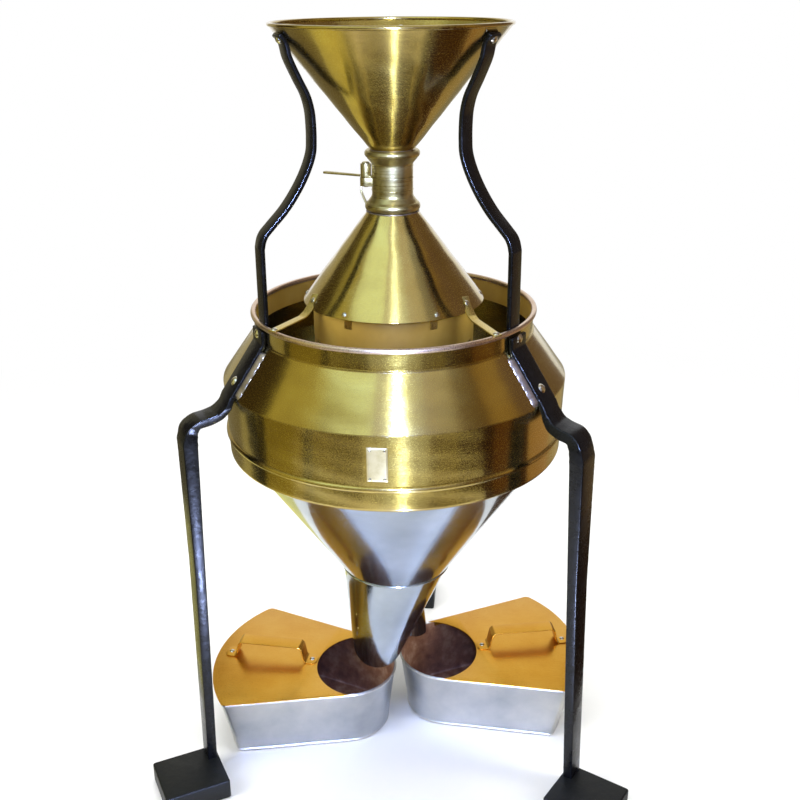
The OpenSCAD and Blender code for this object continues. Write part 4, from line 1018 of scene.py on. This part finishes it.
HANDLE_TOP = PAN_H + LID_GAP + LID_T + GRIP_T
for side, pole, angle in (("left", (-62.0, -10.0, PAN_LIFT), 175.2),
                          ("right", (62.0, 30.0, PAN_LIFT), 11.7)):
    pan, lid = side + "_pan", side + "_lid"
    for name, grids, look, body, node in (
            ("tub", [tub()], satin_tin, pan, [pan]),
            ("tub_rim", [hoop(lambda e: grown(TOP_LINE, e), PAN_H - RIM_H, RIM_OUT, RIM_H)], pan_edge, pan,
             [pan + "_rim"]),
            ("tub_foot_seam", [hoop(lambda e: grown(FOOT_LINE, e - 0.2), 0.5, 1.1, 2.4)], pan_edge, pan, []),
            ("lid_plate", [lid_plate(), lid_flange()], lid_brass, lid, [lid]),
            ("lid_strap", [strap_handle()], lid_brass, lid, [side + "_handle"]),
            ("lid_rivet_heads", [aimed(dome(3.2, 1.5), (x, 0, HANDLE_TOP), (0, 0, 1.0)) for x in GRIP_X],
             rivet_metal, lid, [side + "_handle_rivets"])):
        made = part(side + "_" + name, [placed(g, angle, pole) for g in grids], look, node, body)
        # The tub's inner walls and floor get the brown painted shade and painted brass reflection
        if name == "tub":
            reach = 60 * outward(angle + 90)
            line_inside(made.data, (pole[0] + reach[0], pole[1] + reach[1]), painted_shade_tin)


# Camera, as fitted to the photograph: about 1.07 m in front of the axis and 22 degrees down

CAM_AT, CAM_TURN, CAM_DOWN, CAM_ROLL = (99.0, -1062.9, 851.0), 5.0, 22.0, -0.43
FOCAL_PX, FRAME_PX, SENSOR = 1045.0, 800.0, 36.0
cam = bpy.data.cameras.new("view")
cam.sensor_width = SENSOR
cam.lens = FOCAL_PX / FRAME_PX * SENSOR
camera = shown_object("view", cam)


def turned_to(at, *turns):
    """A place in metres with turns in radians about the named axes, the last one done first."""
    matrix = Matrix.Translation(at)
    for axis, angle in turns:
        matrix = matrix @ Matrix.Rotation(angle, 4, axis)
    return matrix


camera.matrix_world = turned_to((CAM_AT[0] * MM, (CAM_AT[1] + AXIS_Y) * MM, CAM_AT[2] * MM),
                                ("Z", math.radians(CAM_TURN)), ("X", math.radians(90 - CAM_DOWN)),
                                ("Z", math.radians(CAM_ROLL)))
bpy.context.scene.camera = camera


def seen(tree):
    """One for rays from the camera, from mirrors and through glass, and zero for all others."""
    path = add(tree, "ShaderNodeLightPath")
    share = path.outputs["Is Camera Ray"]
    for kind in ("Is Glossy Ray", "Is Transmission Ray"):
        share = add(tree, "ShaderNodeMath", {"operation": "MAXIMUM"},
                    {0: share, 1: path.outputs[kind]}).outputs[0]
    return share


# Floor: pale, and white to camera and mirror rays beyond the object, so that it has no horizon

HALF, FLOOR_Z = 30.0, -0.0002
floor_mesh = bpy.data.meshes.new("floor")
floor_mesh.from_pydata([(x * HALF, y * HALF, FLOOR_Z) for x, y in ((-1, -1), (1, -1), (1, 1), (-1, 1))], [],
                       [(0, 1, 2, 3)])
shown_object("floor", floor_mesh)
pale = bpy.data.materials.new("pale_floor")
t = emptied(pale)
spot = add(t, "ShaderNodeTexCoord").outputs["Object"]
far = add(t, "ShaderNodeVectorMath", {"operation": "LENGTH"}, {0: spot})
fade = add(t, "ShaderNodeMapRange", {"interpolation_type": "SMOOTHSTEP", "From Min": 0.45, "From Max": 1.5},
           {"Value": far.outputs["Value"]})
share = add(t, "ShaderNodeMath", {"operation": "MULTIPLY"}, {0: fade.outputs["Result"], 1: seen(t)})
matt = add(t, "ShaderNodeBsdfDiffuse", {"Color": colour("#f3f3f1")})
white = add(t, "ShaderNodeEmission", {"Color": colour("#ffffff"), "Strength": 1.0})
both = add(t, "ShaderNodeMixShader", links={0: share.outputs[0], 1: matt.outputs[0], 2: white.outputs[0]})
add(t, "ShaderNodeOutputMaterial", links={"Surface": both.outputs[0]})
floor_mesh.materials.append(pale)

# World: white to camera and mirror rays, soft grey light on everything else

world = bpy.data.worlds.new("studio")
bpy.context.scene.world = world
t = emptied(world)
strength = add(t, "ShaderNodeMapRange", {"To Min": 0.55, "To Max": 1.0}, {"Value": seen(t)})
sky = add(t, "ShaderNodeBackground", {"Color": colour("#ffffff")}, {"Strength": strength.outputs["Result"]})
add(t, "ShaderNodeOutputWorld", links={"Surface": sky.outputs[0]})


def lamp(name, at, aim, size, watts, tone="#ffffff"):
    """A soft square lamp that faces a point."""
    light = bpy.data.lights.new(name, "AREA")
    light.shape = "RECTANGLE"
    light.size, light.size_y = size
    light.energy = watts
    light.color = colour(tone)[:3]
    o = shown_object(name, light)
    away = np.array(at, float) - np.array(aim, float)
    o.matrix_world = turned_to(at, ("Z", math.atan2(away[0], -away[1])),
                               ("X", math.atan2(math.hypot(away[0], away[1]), away[2])))
    return o


def screen(name, start, end, near, low, far, high, tone, strength=1.0):
    """A curved glowing screen round the machine's axis that only mirror rays see. It lies between two
    directions, and goes from one radius and height to another."""
    a = np.radians(np.linspace(start, end, 9))
    corners = np.concatenate([np.stack([r * np.sin(a), AXIS_Y * MM - r * np.cos(a), z + 0 * a], 1)
                              for r, z in ((near, low), (far, high))])
    mesh = bpy.data.meshes.new(name)
    mesh.from_pydata(corners.tolist(), [], [(i, i + 1, i + 10, i + 9) for i in range(8)])
    m = bpy.data.materials.new(name)
    t = emptied(m)
    glow = add(t, "ShaderNodeEmission", {"Color": colour(tone), "Strength": strength})
    add(t, "ShaderNodeOutputMaterial", links={"Surface": glow.outputs[0]})
    mesh.materials.append(m)
    o = shown_object(name, mesh)
    o.visible_camera = o.visible_diffuse = o.visible_shadow = o.visible_transmission = False


middle, throat = (0.0, AXIS_Y * MM, 0.42), (0.0, AXIS_Y * MM, 0.75)
# The flash draws the white streak down the turned brass, and a small low lamp carries it up the hopper
for flash in (lamp("flash", (0.146, -1.22, 1.0), middle, (0.08, 0.12), 62, "#a0b8ff"),
              lamp("flash_low", (0.078, -0.48, 0.04), throat, (0.03, 0.08), 3.2, "#b4c6ff")):
    flash.visible_diffuse = False
for soft in (lamp("soft_left", (-1.5, -1.1, 1.3), middle, (0.9, 1.3), 26),
             lamp("soft_right", (1.7, -0.6, 1.2), middle, (0.5, 1.2), 16),
             lamp("soft_top", (0.0, 0.2, 2.2), middle, (1.4, 1.4), 34)):
    soft.visible_glossy = False

# Screens in the colours of a room. The shoulder and the hood's sides mirror the lower wall, the hood's front
# the upper wall, and the band and collar the floor. Each row: first and last direction, tone and strength
WALL_R, SLOPE_R, MIDDLE_Z, HIGH_Z, SPLIT_Z = 3.0, 2.6, 3.3, 6.0, 2.1
screen("wall", -124, -86, WALL_R, 0.0, WALL_R, SPLIT_Z, "#443820")
for start, end, tone in ((-124, -100, "#6c6440"), (-100, -86, "#b4ae74")):
    screen("wall", start, end, WALL_R, SPLIT_Z, WALL_R, MIDDLE_Z, tone)
for start, end, tone in ((-150, -124, "#b8b090"), (-86, -50, "#ccc680"), (-50, -12, "#bcbea0"),
                         (-12, 24, "#c0c0cc"), (24, 50, "#a4a2b0"), (50, 74, "#7c6848"),
                         (74, 94, "#ac9264"), (94, 114, "#7c6862"), (114, 150, "#786450")):
    screen("wall", start, end, WALL_R, 0.0, WALL_R, MIDDLE_Z, tone)
for start, end, tone, glow in ((-150, -86, "#a8ac90", 1), (-86, -68, "#d4e0c4", 1),
                               (-68, -12, "#d8f4ff", 2.2), (-12, 30, "#e0ecff", 1.3),
                               (30, 58, "#f0f0ff", 1), (58, 76, "#b8bccc", 1),
                               (76, 100, "#64544c", 1), (100, 150, "#7c6a58", 1)):
    screen("wall", start, end, WALL_R, MIDDLE_Z, SLOPE_R, HIGH_Z, tone, glow)
screen("ceiling", 0, 360, SLOPE_R, HIGH_Z, 0.1, 6.2, "#b8b4a0")
start = -150
for end, tone in ((-112, "#7c7250"), (-90, "#a8a070"), (-83, "#2c2410"), (-53, "#8a7c38"), (-46, "#30260e"),
                  (-34, "#746834"), (-14, "#5c5028"), (26, "#b4b4ac"), (44, "#706440"), (68, "#38220e"),
                  (90, "#664424"), (98, "#3c240e"), (124, "#b89464"), (150, "#b09c6c"), (210, "#8c8468")):
    screen("room_floor", start, end, 0.75, 0.003, WALL_R, 0.004, tone)
    start = end
# What the funnel's sides mirror beside the pans
for start, end, tone in ((-150, -62, "#f4ec94"), (62, 150, "#4a3216")):
    screen("near_floor", start, end, 0.33, 0.002, 0.75, 0.002, tone)

bpy.context.scene.view_settings.view_transform = "Standard"
